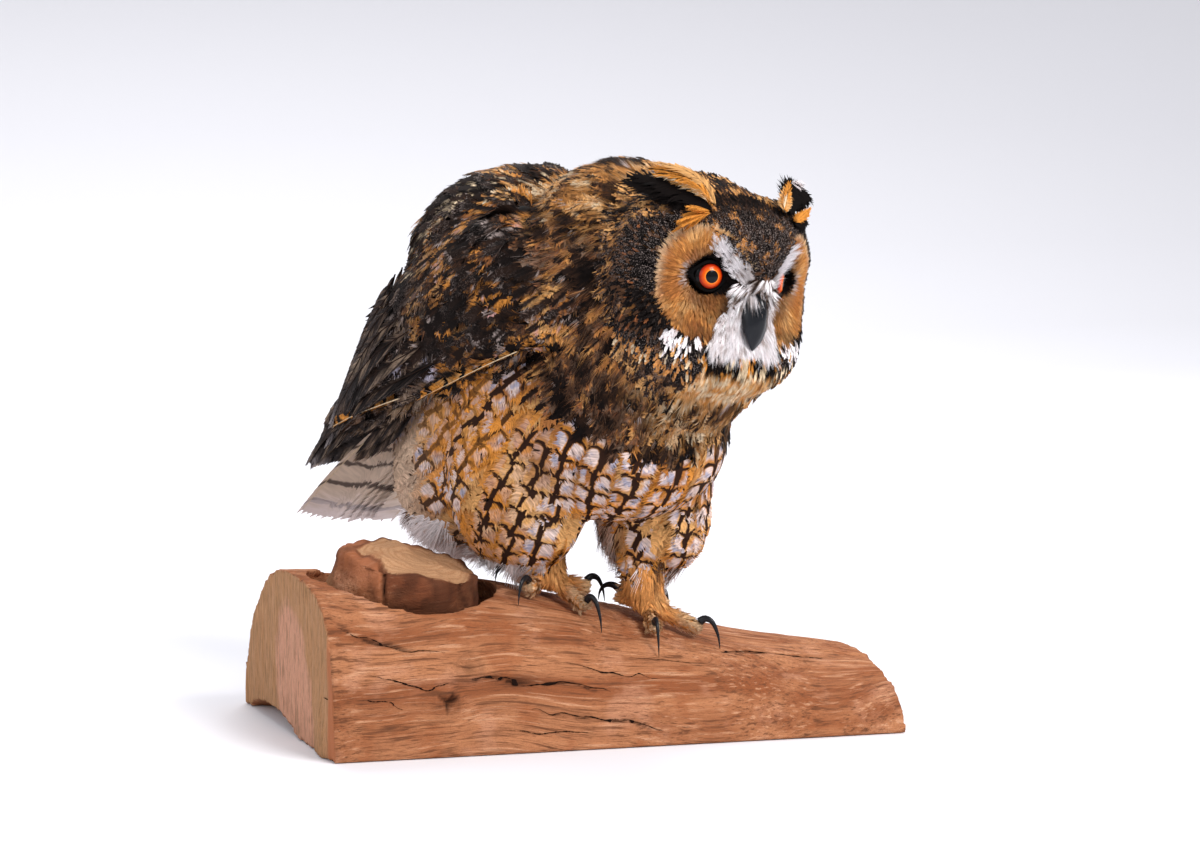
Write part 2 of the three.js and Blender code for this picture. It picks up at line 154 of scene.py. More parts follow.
for sign, operation in zip(("add", "sub", "mul", "truediv", "pow"), ("ADD", "SUBTRACT", "MULTIPLY", "DIVIDE", "POWER")):
    setattr(Field, f"__{sign}__", fieldMethod(operation))


class Finish:
    def __init__(self, name, roughness=0.7, specular=0.3, coat=0.0):
        self.material = bpy.data.materials.new(name)
        self.material.use_nodes = True
        self.tree = self.material.node_tree
        self.shader = self.tree.nodes["Principled BSDF"]
        settings = {"Roughness": roughness, "Specular IOR Level": specular, "Coat Weight": coat, "Coat Roughness": 0.04}
        for key, value in settings.items():
            self.shader.inputs[key].default_value = value

    def node(self, kind, inputs=(), **settings):
        made = self.tree.nodes.new("ShaderNode" + kind)
        for key, value in settings.items():
            setattr(made, key, value)
        for key, value in dict(inputs).items():
            self.join(value, made.inputs[key])
        return [Field(self, socket) for socket in made.outputs]

    def join(self, value, socket):
        if isinstance(value, Field):
            self.tree.links.new(value.socket, socket)
        elif hasattr(value, "__len__"):
            socket.default_value = (*value, 1.0)[: len(socket.default_value)]
        else:
            socket.default_value = value

    def math(self, operation, first, second=0.0):
        return self.node("Math", {0: first, 1: second}, operation=operation)[0]

    def step(self, value, low, high, start=0.0, end=1.0):
        return self.node("MapRange", {0: value, 1: low, 2: high, 3: start, 4: end}, interpolation_type="SMOOTHSTEP")[0]

    def mix(self, share, first, second, blend="MIX"):
        return self.node("Mix", {0: share, 6: first, 7: second}, data_type="RGBA", blend_type=blend)[2]

    def shaded(self, color, shade):
        return self.mix(1.0, color, self.vector(shade, shade, shade), "MULTIPLY")

    def washed(self, color, *washes):  # each wash: where, its weakest and strongest level, how strong, and the colour
        for where, low, high, amount, tint in washes:
            color = self.mix(self.step(where, low, high) * amount, color, paint(*tint))
        return color

    def noise(self, where, scale, detail=2.0, rough=0.5, output=0):
        return self.node("TexNoise", {"Vector": where, "Scale": scale, "Detail": detail, "Roughness": rough})[output]

    def stretched(self, where, scale):
        return self.node("Mapping", {"Vector": where, "Scale": scale})[0]

    def attribute(self, name):  # its colour, vector, factor and fourth number
        return self.node("Attribute", attribute_name=name)

    def map(self, name):
        return self.parts(self.node("UVMap", uv_map=name)[0])

    def parts(self, vector):
        return self.node("SeparateXYZ", {0: vector})

    def vector(self, x, y, z):
        return self.node("CombineXYZ", {0: x, 1: y, 2: z})[0]

    def object(self):
        return self.node("TexCoord")[3]

    def done(self, color, height=None, strength=0.3, depth=0.0005, roughness=None):
        self.join(color, self.shader.inputs["Base Color"])
        if height is not None:
            bump = self.node("Bump", {"Strength": strength, "Distance": depth, "Height": height})
            self.join(bump[0], self.shader.inputs["Normal"])
        if roughness is not None:
            self.join(roughness, self.shader.inputs["Roughness"])
        return self.material


def featherFinish(name, strands=40.0, streak=False, mottle=0.0, fleck=0.0, bars=0.0, barWidth=0.5, rows=False,
                  tip=False, pepper=0.0, depth=1.0):
    # every feather carries its ground in "tone", its dark colour in "mark" and its own dice in "mood"
    f = Finish(name, roughness=0.78, specular=0.07)
    (tone, _, _, warm), (dark, _, _, narrow) = f.attribute("tone"), f.attribute("mark")
    _, mood, _, streaked = f.attribute("mood")
    barred, pale, salt = f.parts(mood)
    salt = salt * 37.0
    across, along, _ = f.map("Feather")
    across = abs(across * 2.0 - 1.0)
    barb, reach, _ = f.map("Barb")
    hair = f.noise(f.vector(barb * strands, reach * 1.3, salt), 1.0)
    fray = hair - 0.5
    wobble = f.noise(f.vector(across, along, salt), 6.0) - 0.5
    shade = f.step(hair, 0.28, 0.74, 1 - 0.34 * depth, 1 + 0.24 * depth)
    color = f.shaded(tone, shade)
    bent = fray * 0.4 + wobble * 0.2 + across
    far = fray * 0.14 + along
    if tip:
        color = f.mix(f.step(far, 0.3, 0.55, 1.0, 0.0) * warm, color, plumage["orange"])
    if mottle:
        fine = f.noise(f.vector(across * 2.0, along * 8.0, salt), 3.0, 4.0, 0.68)
        color = f.mix(f.step(fine, 0.48, 0.6) * mottle, color, dark)
    if streak:
        shaft = bent - narrow * (along * 0.8 + 0.55)
        color = f.mix(f.step(shaft, 0.12, -0.08), color, dark)
    if fleck:
        fine = f.noise(f.vector(across * 2.6, far * 15.0, salt), 3.6, 3.0, 0.7)
        edge = f.math("MAXIMUM", f.step(bent, 0.2, 0.75), f.step(along, 0.55, 0.95))
        color = f.mix(f.step(fine, 0.53, 0.62) * edge * (pale * fleck), color, plumage["greyPale"])
    if pepper:
        grain = f.noise(f.object(), 1900.0, 2.0, 0.6)
        color = f.mix(f.step(grain, 0.55, 0.66) * pale, color, plumage["greyPale"])
    if bars:
        wave = f.math("SINE", (across * -0.03 + wobble * (0.05 * depth) + along) * (2 * math.pi * bars))
        color = f.mix(f.step(fray * 0.5 + wave, barWidth, barWidth + 0.35) * barred, color, dark)
    if tip:
        color = f.mix(f.step(far, 0.84, 1.0) * pale, color, plumage["pale"])
    if rows:  # x across the row and v along it, in millimetres
        x, v, _ = f.map("Row")
        blob = f.parts(f.noise(f.vector(x, v, salt), 0.16, output=1))
        shift = (blob[0] - 0.5) * 3.4 + fray * 1.3
        x = (blob[1] - 0.5) * 2.4 + x
        out = abs(x + fray * 0.9)
        arch = ((out - 5.0) * 0.2) ** 2.0 * -3.0
        cell = f.math("FRACT", (v + shift + arch) / 13.0)
        arm = f.step(cell, 0.23, 0.12) * f.step(cell, 0.0, 0.05) * f.step(out, 10.2, 8.4)
        bald = f.noise(f.vector(x * 0.09, v * 0.05, narrow), 1.0, 1.0)
        spot = f.step(cell, 0.16, 0.24) * f.step(cell, 0.98, 0.76) * f.step(out, 1.5, 2.4) * f.step(out, 9.0, 7.2)
        # some pale spots take the lilac-grey: painted sheen on the spots
        spotWithSheen = f.shaded(f.mix(f.step(blob[2], 0.5, 0.62), plumage["spot"], plumage["lilacSpotAndSheen"]), shade)
        color = f.mix(spot * f.step(bald, 0.36, 0.46) * pale, color, spotWithSheen)
        color = f.mix(arm * barred, color, dark)
        thick = f.step(cell, 0.45, 0.0) * 0.9 + narrow * 2.6
        color = f.mix(f.step(out - thick, 0.5, -0.3) * streaked, color, dark)
    return f.done(color, hair, 0.3 * depth, 0.0003)


def activate(*pieces):
    bpy.ops.object.select_all(action="DESELECT")
    for piece in pieces:
        piece.select_set(True)
        bpy.context.view_layer.objects.active = pieces[0]


def applyModifier(piece, kind, **settings):
    activate(piece)
    added = piece.modifiers.new(kind, kind)
    for key, value in settings.items():
        setattr(added, key, value)
    bpy.ops.object.modifier_apply(modifier=added.name)


def edited(piece, operator, **settings):  # one edit-mode operator on the whole mesh
    activate(piece)
    bpy.ops.object.mode_set(mode="EDIT")
    bpy.ops.mesh.select_all(action="SELECT")
    operator(**settings)
    bpy.ops.object.mode_set(mode="OBJECT")


def linked(name, data):
    made = bpy.data.objects.new(name, data)
    bpy.context.scene.collection.objects.link(made)
    return made


def copyOf(node, name):  # a welded copy of a CAD node's loose triangles
    piece = linked(name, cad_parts[node].data.copy())
    edited(piece, bpy.ops.mesh.remove_doubles, threshold=1e-6)
    piece.data.materials.clear()
    return piece


def settle(piece, slot, *nodes):  # every piece rides on the one body
    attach(piece, "root")
    if nodes:
        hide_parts(*nodes)


def fetched(items, key, width, kind=np.int32):
    flat = np.empty(len(items) * width, kind)
    items.foreach_get(key, flat)
    return flat.reshape(-1, width)


def positions(mesh, key="co"):
    return fetched(mesh.vertices, key, 3, np.float32).astype(float)


def setPositions(mesh, points):
    mesh.vertices.foreach_set("co", np.asarray(points, np.float32).ravel())
    mesh.update()
    mesh.shade_smooth()


def triangles(mesh):
    mesh.calc_loop_triangles()
    return fetched(mesh.loop_triangles, "vertices", 3), fetched(mesh.loop_triangles, "loops", 3)


def setAttribute(mesh, name, values):
    made = mesh.attributes.new(name, "FLOAT_COLOR", "POINT")
    made.data.foreach_set("color", np.asarray(values, np.float32).ravel())


def meshFrom(name, points, faces, finish, maps=(), attributes=()):
    mesh = bpy.data.meshes.new(name)
    faces = np.asarray(faces, np.int32)
    mesh.vertices.add(len(points))
    mesh.vertices.foreach_set("co", np.asarray(points, np.float32).ravel())
    mesh.loops.add(faces.size)
    mesh.loops.foreach_set("vertex_index", faces.ravel())
    mesh.polygons.add(len(faces))
    mesh.polygons.foreach_set("loop_start", np.arange(0, faces.size, 3, dtype=np.int32))
    mesh.update(calc_edges=True)
    mesh.shade_smooth()
    for mapName, values in dict(maps).items():
        layer = mesh.uv_layers.new(name=mapName)
        layer.uv.foreach_set("vector", np.asarray(values, np.float32)[faces.ravel()].ravel())
    for attributeName, values in dict(attributes).items():
        setAttribute(mesh, attributeName, values)
    mesh.materials.append(finish)
    return linked(name, mesh)


stage = {
    "cameraAt": (-0.399315, -1.682090, 0.369562), "forward": (0.23843742, 0.96348091, -0.12186934), "lens": 100.0,
    "floor": ((0.84, 0.84, 0.87), (0.84, 0.84, 0.88)), "world": ((0.96, 0.96, 1.0, 1), 0.62),
    "lights": {  # place, size, power and colour
        "keyLight": ((0.75, -1.25, 1.35), 0.8, 34, (1, 0.985, 0.97)),
        "fillLight": ((-1.7, -0.9, 0.9), 1.2, 9, (0.95, 0.97, 1)),
        "backLight": ((0.1, 1.3, 1.6), 1.6, 26, (1, 1, 1)),
    },
}


def setStage():
    forward = Vector(stage["forward"]).normalized()
    right = forward.cross(Vector((0, 0, 1))).normalized()
    camera = linked("camera", bpy.data.cameras.new("camera"))
    camera.data.lens = stage["lens"]
    camera.data.clip_end = 50
    turn = Matrix((right, right.cross(forward), -forward)).transposed()
    camera.matrix_world = Matrix.Translation(stage["cameraAt"]) @ turn.to_4x4()
    bpy.context.scene.camera = camera
    activate()
    bpy.ops.mesh.primitive_grid_add(x_subdivisions=40, y_subdivisions=40, size=9, location=(0, 0, 0))
    floor = bpy.context.object
    floor.name = "floor"
    places = positions(floor.data)
    places[:, 2] = np.maximum(places[:, 1] - 1.6, 0) ** 2 * 0.55 - 0.0004  # the sweep rises behind
    setPositions(floor.data, places)
    f = Finish("floorPaper", roughness=0.85, specular=0.1)
    floor.data.materials.append(f.done(f.mix(f.noise(f.object(), 3.0, 3.0), *stage["floor"])))
    floor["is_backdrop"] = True
    bpy.context.scene.view_settings.view_transform = "Standard"
    world = bpy.data.worlds.new("studio")
    bpy.context.scene.world = world
    world.use_nodes = True
    for k, value in enumerate(stage["world"]):
        world.node_tree.nodes["Background"].inputs[k].default_value = value
    for name, (place, size, power, color) in stage["lights"].items():
        lamp = linked(name, bpy.data.lights.new(name, "AREA"))
        lamp.data.size, lamp.data.energy, lamp.data.color = size, power, color
        lamp.location = place
        lamp.rotation_mode = "QUATERNION"
        lamp.rotation_quaternion = (Vector((0, 0, 0.15)) - lamp.location).to_track_quat("-Z", "Y")


setStage()
print("stage set")

# the form: all the flesh as one surface, which the coat is combed over and the skin is shrunk from
sides = {"left": 1, "right": -1}
toes = ["outer", "middle", "inner", "hind"]
fleshNodes = ["head", "neck", "trunk", "thigh_left", "thigh_right", "tarsus_left", "tarsus_right"]
fleshNodes += ["wing_left", "wing_right"] + [f"toe_{side}_{toe}" for side in sides for toe in toes]
skinLook = {"voxel": 0.0022, "smoothing": 4}


def makeForm():
    pieces = [copyOf(node, "form_" + node) for node in fleshNodes]
    for piece in pieces:
        applyModifier(piece, "DISPLACE", strength=0.0004, mid_level=0.0)
    activate(*pieces)
    bpy.ops.object.join()
    form = pieces[0]
    form.name = "skin"
    applyModifier(form, "REMESH", mode="VOXEL", voxel_size=skinLook["voxel"])
    applyModifier(form, "SMOOTH", factor=0.5, iterations=skinLook["smoothing"])
    edited(form, bpy.ops.uv.smart_project, angle_limit=math.radians(66), island_margin=0.002)
    form.data.uv_layers[0].name = "OFBake"
    return form


def sculpted(points):  # a flatter crown, and the head fuller on its left
    inner = toHead(points)
    x, y, z = inner.T
    front = ramp(x, -28, -4)
    high = ramp(z, 22, 44) * front * ramp(np.abs(y), 38, 24)
    full = ramp(y, 14, 30) * ramp(z, -4, 12) * ramp(z, 48, 30) * front
    dent = np.exp(-((y / 7.5) ** 2) - ((z + 21) / 8.5) ** 2) * ramp(x, 20, 28)  # room for the bill's sides
    return fromHead(inner + np.stack([-5.0 * dent, 3.6 * full, -4.8 * high + 1.0 * full], 1))


skin = makeForm()
formPoints = sculpted(toBird(positions(skin.data)))
formFaces, formLoops = triangles(skin.data)
formMap = fetched(skin.data.uv_layers["OFBake"].uv, "vector", 2, np.float32)[formLoops]
corners = formPoints[formFaces]
crossed = np.cross(corners[:, 1] - corners[:, 0], corners[:, 2] - corners[:, 0])
formArea = np.linalg.norm(crossed, axis=1) / 2
formCentres = corners.mean(axis=1)
formTree = BVHTree.FromPolygons(formPoints.tolist(), formFaces.tolist())


def gathered(values, shape):  # each point's sum of what its triangles carry
    total = np.zeros(shape)
    for k in range(3):
        np.add.at(total, formFaces[:, k], values)
    return total


pointNormals = unit(gathered(crossed, formPoints.shape))
print("form made:", len(formFaces), "triangles")


def labelled(points):  # the CAD node nearest to each point
    owners, allPoints, allFaces, start = [], [], [], 0
    for node in fleshNodes:
        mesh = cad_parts[node].data
        faces, _ = triangles(mesh)
        allPoints += toBird(positions(mesh)).tolist()
        allFaces += (faces + start).tolist()
        owners += [node] * len(faces)
        start = len(allPoints)
    tree = BVHTree.FromPolygons(allPoints, allFaces)
    return np.array([owners[tree.find_nearest(Vector(point))[2]] for point in points])


owner = labelled(formCentres)
print("form labelled")

# the lie of the coat: places and directions in the bird's axes on its left side; the right side mirrors them
lieGuides = [
    (108, 0, 212, -0.75, 0, 0.66), (88, 0, 228, -1, 0, 0.15), (62, 0, 233, -1, 0, -0.05), (30, 0, 234, -0.96, 0, -0.25),
    (-10, 0, 228, -1, 0, 0), (-50, 0, 230, -0.95, 0, -0.25), (-85, 10, 212, -0.72, 0.05, -0.7),
    (-108, 20, 185, -0.5, 0, -0.86), (-125, 15, 140, -0.5, 0, -0.86), (-165, 10, 95, -0.8, 0, -0.6),
    (70, 45, 215, -0.9, 0.2, -0.2), (60, 50, 190, -0.6, 0.1, -0.75), (40, 50, 160, -0.55, 0.1, -0.83),
    (60, 48, 130, -0.55, 0.1, -0.83), (90, 30, 118, -0.45, 0.1, -0.9), (95, 0, 115, -0.35, 0, -0.93),
    (20, 52, 205, -0.85, 0.05, -0.5), (-10, 55, 190, -0.8, 0, -0.6), (75, 0, 90, -0.25, 0, -0.97),
    (60, 35, 85, -0.3, 0, -0.95), (40, 45, 100, -0.6, 0, -0.8), (5, 55, 110, -0.68, 0, -0.73),
    (-40, 52, 95, -0.7, 0, -0.7), (-80, 45, 85, -0.75, 0, -0.62), (-120, 30, 75, -0.86, 0, -0.5),
    (10, 45, 70, -0.3, 0, -0.95), (-30, 48, 60, -0.5, 0, -0.87), (-60, 40, 45, -0.62, 0, -0.78),
    (-100, 25, 40, -0.9, 0, -0.42), (25, 30, 35, -0.15, 0, -0.98), (-10, 0, 60, -0.7, 0, -0.7),
    (0, 45, 150, -0.9, 0.1, -0.42), (-60, 55, 150, -0.78, 0, -0.62), (-30, 60, 190, -0.8, 0.1, -0.58),
    (-110, 45, 130, -0.72, -0.1, -0.68), (-60, 52, 112, -0.93, 0, -0.37),
]
guides = np.array(lieGuides, float).reshape(-1, 2, 3)
guides = np.concatenate([guides, guides * [1, -1, 1]])
guidePlaces, guideWays = guides[:, 0], unit(guides[:, 1])


def bodyLie(points, normals):
    gaps = ((points[:, None] - guidePlaces[None]) ** 2).sum(-1)
    weights = np.exp(-gaps / (2 * 24**2)) + 1e-12
    return (weights[..., None] * guideWays[None]).sum(1) / weights.sum(1, keepdims=True)


def faceLie(points, normals):  # strands of the face run out from the nearer eye
    spots = toHead(points)
    side = np.sign(spots[:, 1])
    eyes = np.stack([np.full(len(side), eyeSpot[0] - 6), side * eyeSpot[1], np.zeros(len(side))], 1)
    return unit(spots - eyes) @ headAxes.T


def onForm(points):
    hits = [formTree.find_nearest(Vector(point)) for point in points]
    places = np.array([hit[0] for hit in hits])
    faces = np.array([hit[2] for hit in hits])
    shares = 1 / np.maximum(np.linalg.norm(formPoints[formFaces[faces]] - places[:, None], axis=2), 0.05)
    return places, unit((pointNormals[formFaces[faces]] * shares[..., None]).sum(1)), faces


def combed(points, normals, lengths, lie, steps, swing):
    # each root's path over the form: places, normals and headings at evenly spaced steps
    places, ups, ways = [points], [normals], []
    for _ in range(steps):
        way = lie(places[-1], ups[-1])
        way = way + np.cross(ups[-1], unit(way)) * swing[:, None]
        way = unit(way - (way * ups[-1]).sum(1, keepdims=True) * ups[-1])
        if ways:
            way = unit(way + ways[-1])
        ways.append(way)
        nextPlaces, nextUps, _ = onForm(places[-1] + way * (lengths / steps)[:, None])
        places.append(nextPlaces)
        ups.append(unit(nextUps + ups[-1]))
    ways.append(ways[-1])
    return np.stack(places, 1), np.stack(ups, 1), np.stack(ways, 1)


def scatter(mask, spacing, seed):  # roots: their places, normals and spots on the unwrap
    dice = np.random.default_rng(seed)
    faces = np.flatnonzero(mask)
    gap = spacing * 0.82
    weights = formArea[faces] / spacing**2
    count = int(weights.sum() * 4) + 8
    chosen = faces[dice.choice(len(faces), count, p=weights / weights.sum())]
    first, second = dice.random(count), dice.random(count)
    over = first + second > 1
    first, second = np.where(over, 1 - first, first), np.where(over, 1 - second, second)
    shares = np.stack([1 - first - second, first, second], 1)[..., None]
    points = (formPoints[formFaces[chosen]] * shares).sum(1)
    cells = [(a, b, c) for a in (-1, 0, 1) for b in (-1, 0, 1) for c in (-1, 0, 1)]
    grid, kept = {}, []
    for i, ((x, y, z), place) in enumerate(zip(np.floor(points / gap).astype(int).tolist(), points.tolist())):
        near = [spot for a, b, c in cells for spot in grid.get((x + a, y + b, z + c), ())]
        if all((place[0] - u) ** 2 + (place[1] - v) ** 2 + (place[2] - w) ** 2 >= gap**2 for u, v, w in near):
            grid.setdefault((x, y, z), []).append(place)
            kept.append(i)
    normals = unit((pointNormals[formFaces[chosen[kept]]] * shares[kept]).sum(1))
    return points[kept], normals, (formMap[chosen[kept]] * shares[kept]).sum(1)


def tracedRows(mask, across, along, seed, longest=16):
    # lines that follow the lie, so that marks join up along them: places, millimetres along, and the row's number
    points, normals, _ = scatter(mask, across * 0.45, seed)
    rows, taken = [], np.zeros((0, 3))
    crowded = lambda place, share: len(taken) and ((taken - place) ** 2).sum(1).min() < (across * share) ** 2
    for start, up in zip(points, normals):
        if crowded(start, 0.86):
            continue
        halves = []
        for heading in (1, -1):
            place, normal, half = start, up, []
            for _ in range(longest):
                way = bodyLie(place[None], normal[None])[0] * heading
                way = unit(way - way @ normal * normal)
                hit = formTree.find_nearest(Vector(place + way * along))
                place = np.array(hit[0])
                if not mask[hit[2]] or crowded(place, 0.6):
                    break
                normal = unit(pointNormals[formFaces[hit[2]]].sum(0))
                half.append(place)
            halves.append(half)
        rows.append(np.array(halves[1][::-1] + [start] + halves[0]))
        taken = np.concatenate([taken, rows[-1]])
    numbers = np.concatenate([np.full(len(row), k) for k, row in enumerate(rows)])
    steps = np.concatenate([np.arange(len(row)) * along for row in rows])
    return np.concatenate(rows), steps, numbers


# feather shapes, flat: across from -1 to 1, along from 0 at the root to 1 at the tip
def shapeOf(faces, lift=0, **columns):
    return {"faces": np.array(faces), "lift": lift, **{key: np.concatenate(value) for key, value in columns.items()}}


def vane(barbs, waist=0.6, inner=0.62, taper=0.92):
    q = np.linspace(0, 1, barbs + 1)
    middle = (q[1:] + q[:-1]) / 2
    width = lambda s: np.sin(np.pi * np.clip(s, 0, 1) ** 0.85) ** waist
    shaft = taper * q**1.5
    across, along, barb, reach = [0 * q], [shaft], [q], [0 * q]
    faces = []
    count = barbs + 1
    for side in (1, -1):
        start = sum(len(a) for a in across)
        edge = 0.10 + 0.90 * q
        across += [side * width(q * 0.97) * (inner + 0.06), side * width(middle * 0.97)]
        along += [shaft + (edge - shaft) * inner * 0.86, 0.10 + 0.90 * middle]
        barb += [q, middle]
        reach += [0 * q + inner, 0 * middle + 1]
        for i in range(barbs):
            s, m, t = i, start + i, start + count + i
            made = [(s, s + 1, m + 1), (s, m + 1, m), (m, m + 1, t)]
            faces += made if side > 0 else [face[::-1] for face in made]
    return shapeOf(faces, across=across, along=along, barb=barb, reach=reach)


def strands(count, thin=0.16, seed=3):  # a tuft of separate blades from one root
    dice = np.random.default_rng(seed)
    across, along, barb, reach, faces = [], [], [], [], []
    for i in range(count):
        out = 2 * (i + 0.5) / count - 1
        length = 1 - 0.25 * abs(out) - 0.18 * dice.random()
        start = i * 5
        for share, wide in ((0, thin * 0.7), (0.5, thin)):
            lean = out * (0.25 * (1 - share) + share * 0.9)
            across.append([lean - wide, lean + wide])
            along.append([share * length] * 2)
        across.append([out])
        along.append([length])
        barb.append([i / count] * 5)
        reach.append([0, 0, 0.5, 0.5, 1])
        faces += [(start, start + 2, start + 3), (start, start + 3, start + 1), (start + 2, start + 4, start + 3)]
    return shapeOf(faces, across=across, along=along, barb=barb, reach=reach)


def tubeFaces(steps, size):
    corner = [(i * size, k, (k + 1) % size) for i in range(steps) for k in range(size)]
    return [face for i, a, b in corner for face in ((i + a, i + b, i + b + size), (i + a, i + b + size, i + a + size))]


def quill(steps, thick):  # the feather's shaft, a thin spine standing over both faces
    v = np.linspace(0, 0.97, steps + 1)
    taper = 1 - 0.75 * v
    across = np.stack([-thick * taper, 0 * v, thick * taper, 0 * v], 1)
    lift = np.stack([0 * v, 0.45 * taper, 0 * v, -0.4 * taper], 1).ravel()
    flat = np.repeat(v, 4)[None]
    return shapeOf(tubeFaces(steps, 4), lift, across=across, along=flat, barb=flat, reach=0 * flat)


def smoothLine(points, steps):  # a smooth curve through the points
    points = np.asarray(points, float)
    ends = np.concatenate([[2 * points[0] - points[1]], points, [2 * points[-1] - points[-2]]])
    spot = np.linspace(0, len(points) - 1, steps + 1)
    low = np.minimum(spot.astype(int), len(points) - 2)
    t = (spot - low)[:, None]
    a, b, c, d = (ends[low + k] for k in range(4))
    return 0.5 * (2 * b + (c - a) * t + (2 * a - 5 * b + 4 * c - d) * t**2 + (3 * b - a - 3 * c + d) * t**3)


def freePaths(lines, ups, steps=12):  # feathers that hang free: their lines, and which way each vane faces
    places = np.stack([smoothLine(line, steps) for line in lines])
    ways = unit(np.gradient(places, axis=1))
    faced = np.broadcast_to(unit(np.asarray(ups, float))[:, None], places.shape)
    faced = unit(faced - (faced * ways).sum(-1, keepdims=True) * ways)
    return places, faced, ways


def grown(paths, shape, width, rise, seed, cup=0.12, ragged=0.05, tilt=0.12, swell=1.0, leaf=(1, 1), splits=0.0):
    # lays one copy of the shape along each path; rise is the height over the form at the root and the tip
    places, ups, ways = paths
    count, steps = places.shape[0], places.shape[1] - 1
    dice = np.random.default_rng(seed)
    across = np.broadcast_to(shape["across"], (count, len(shape["across"]))).copy()
    along = np.broadcast_to(shape["along"], across.shape).copy()
    loose = shape["reach"][None] * np.clip(shape["along"][None] * 2, 0, 1)
    across *= 1 + dice.normal(0, ragged * 1.6, across.shape) * loose
    along += dice.normal(0, ragged * 0.55, across.shape) * loose
    if splits:  # the vane parts here and there
        cells = (shape["barb"] * 9).astype(int) + 20 * (shape["across"] > 0)
        along += dice.normal(0, splits, (count, 64))[:, cells] * loose
    across = np.where(across > 0, across * leaf[0], across * leaf[1])
    spot = np.clip(along, 0, 1.0) * steps
    low = np.minimum(spot.astype(int), steps - 1)
    part = (spot - low)[..., None]
    line = np.arange(count)[:, None]
    blend = lambda field: field[line, low] * (1 - part) + field[line, low + 1] * part
    up, way = unit(blend(ups)), unit(blend(ways))
    side = np.cross(up, way)
    base, tip, width = (np.broadcast_to(np.asarray(value, float), count)[:, None] for value in (*rise, width))
    roll = dice.normal(0, tilt, count)[:, None]
    height = base + (tip - base) * np.clip(along, 0, 1.1) ** swell - cup * width * across**2 + roll * across * width
    height = height + dice.normal(0, 0.12, (count, 1)) + shape["lift"]
    over = np.maximum(along - 1, 0)[..., None]
    length = np.linalg.norm(places[:, -1] - places[:, 0], axis=1)[:, None, None]
    return blend(places) + side * (across * width)[..., None] + up * height[..., None] + way * over * length


def tintAt(level, tints):  # "black 0.4 brown": each colour from the level before it upwards
    first, *others = tints.split()
    color = np.broadcast_to(plumage[first], (len(level), 3)).copy()
    for cut, name in zip(others[::2], others[1::2]):
        color = mixed(ramp(level, float(cut) - 0.03, float(cut) + 0.03), color, plumage[name])
    return color


def blotched(points, size, shift, tints, dice, spread=0.05):
    level = softNoise(points, size, shift)[:, 0] * 0.65 + softNoise(points, size * 0.45, shift + 5)[:, 0] * 0.35
    return tintAt(level + dice.normal(0, spread, len(points)), tints)


def varied(colors, dice, amount=0.12):
    return np.clip(colors * (1 + dice.normal(0, amount, (len(colors),) + (1,) * (colors.ndim - 1))), 0, 1)


def quad(colors, last):  # colours with a fourth number
    last = np.asarray(last, float)
    last = last.reshape(last.shape + (1,) * (colors.ndim - last.ndim))
    return np.concatenate([colors, np.broadcast_to(last, (*colors.shape[:-1], 1))], -1)


class Coat:  # gathers feathers of one piece and makes them one mesh
    def __init__(self, name, seed):
        self.name, self.parts, self.start = name, [], 0
        self.dice = np.random.default_rng(seed)

    def comb(self, roots, shape, length, lengths, width, widths, rise, seed,
             lie=bodyLie, steps=3, swing=0.12, base=-1.0, **form):
        # a feather from each root, with its length, swing, width and rise drawn by chance
        dice, count = self.dice, len(roots[0])
        length = length * dice.uniform(*lengths, count)
        paths = combed(*roots[:2], length, lie, steps, dice.normal(0, swing, count))
        width = width * (dice.uniform(*widths, count) if widths else np.ones(count))
        tip = rise(count) if callable(rise) else dice.uniform(*rise, count)
        return grown(paths, shape, width, (base, tip), seed, **form), paths, length, width

    def patched(self, made, paths, size, shift, tints, stretch=0.6, jitter=1.5, fray=0.55):
        # colours that run softly through a feather and on into its neighbours, drawn out along it
        roots = paths[0][:, :1]
        dice = self.dice
        spots = roots + (made - roots) * stretch + dice.normal(0, jitter, (len(made), 1, 3))
        spots = spots + dice.normal(0, fray, made.shape)
        return blotched(spots.reshape(-1, 3), size, shift, tints, dice, 0.02).reshape(made.shape)

    def darks(self, count):
        return mixed(self.dice.random(count), plumage["black"], plumage["darkBrown"])

    def add(self, made, shape, spots, tone, mark=None, narrow=0, warm=0, bars=0, pale=0, streak=0, plan=None):
        count, size = made.shape[:2]
        each = lambda color: np.broadcast_to(color, (count, 3)) if np.ndim(color) == 1 else color
        tone, mark = each(tone), each(tone if mark is None else mark)
        mood = np.stack([np.broadcast_to(value, count) for value in (bars, pale, self.dice.random(count), streak)], 1)
        faces = shape["faces"][None] + (np.arange(count) * size)[:, None, None] + self.start
        wide = np.broadcast_to(np.stack([shape["across"] / 2 + 0.5, shape["along"]], 1), (count, size, 2))
        barb = np.broadcast_to(np.stack([shape["barb"], shape["reach"]], 1), (count, size, 2))
        bake = np.clip(np.broadcast_to(spots, (count, 2)), 0, 0.996)[:, None] + (wide - 0.5) * 0.003
        spread = lambda value: np.broadcast_to(value[:, None] if value.ndim == 2 else value, (count, size, 4))
        plan = wide * 0 if plan is None else plan
        tones = [spread(value) for value in (quad(tone, warm), quad(mark, narrow), mood)]
        self.parts.append([part.reshape(-1, part.shape[-1]) for part in (made, faces, bake, wide, barb, plan, *tones)])
        self.start += count * size

    def make(self, finish, slot, *nodes):
        points, faces, bake, wide, barb, plan, tone, mark, mood = (np.concatenate(a) for a in zip(*self.parts))
        maps = {"OFBake": bake, "Feather": wide, "Barb": barb}
        if plan.any():
            maps["Row"] = plan
        piece = meshFrom(self.name, toRow(points), faces, finish, maps, {"tone": tone, "mark": mark, "mood": mood})
        settle(piece, slot, *nodes)
        print(self.name, len(faces), "triangles")


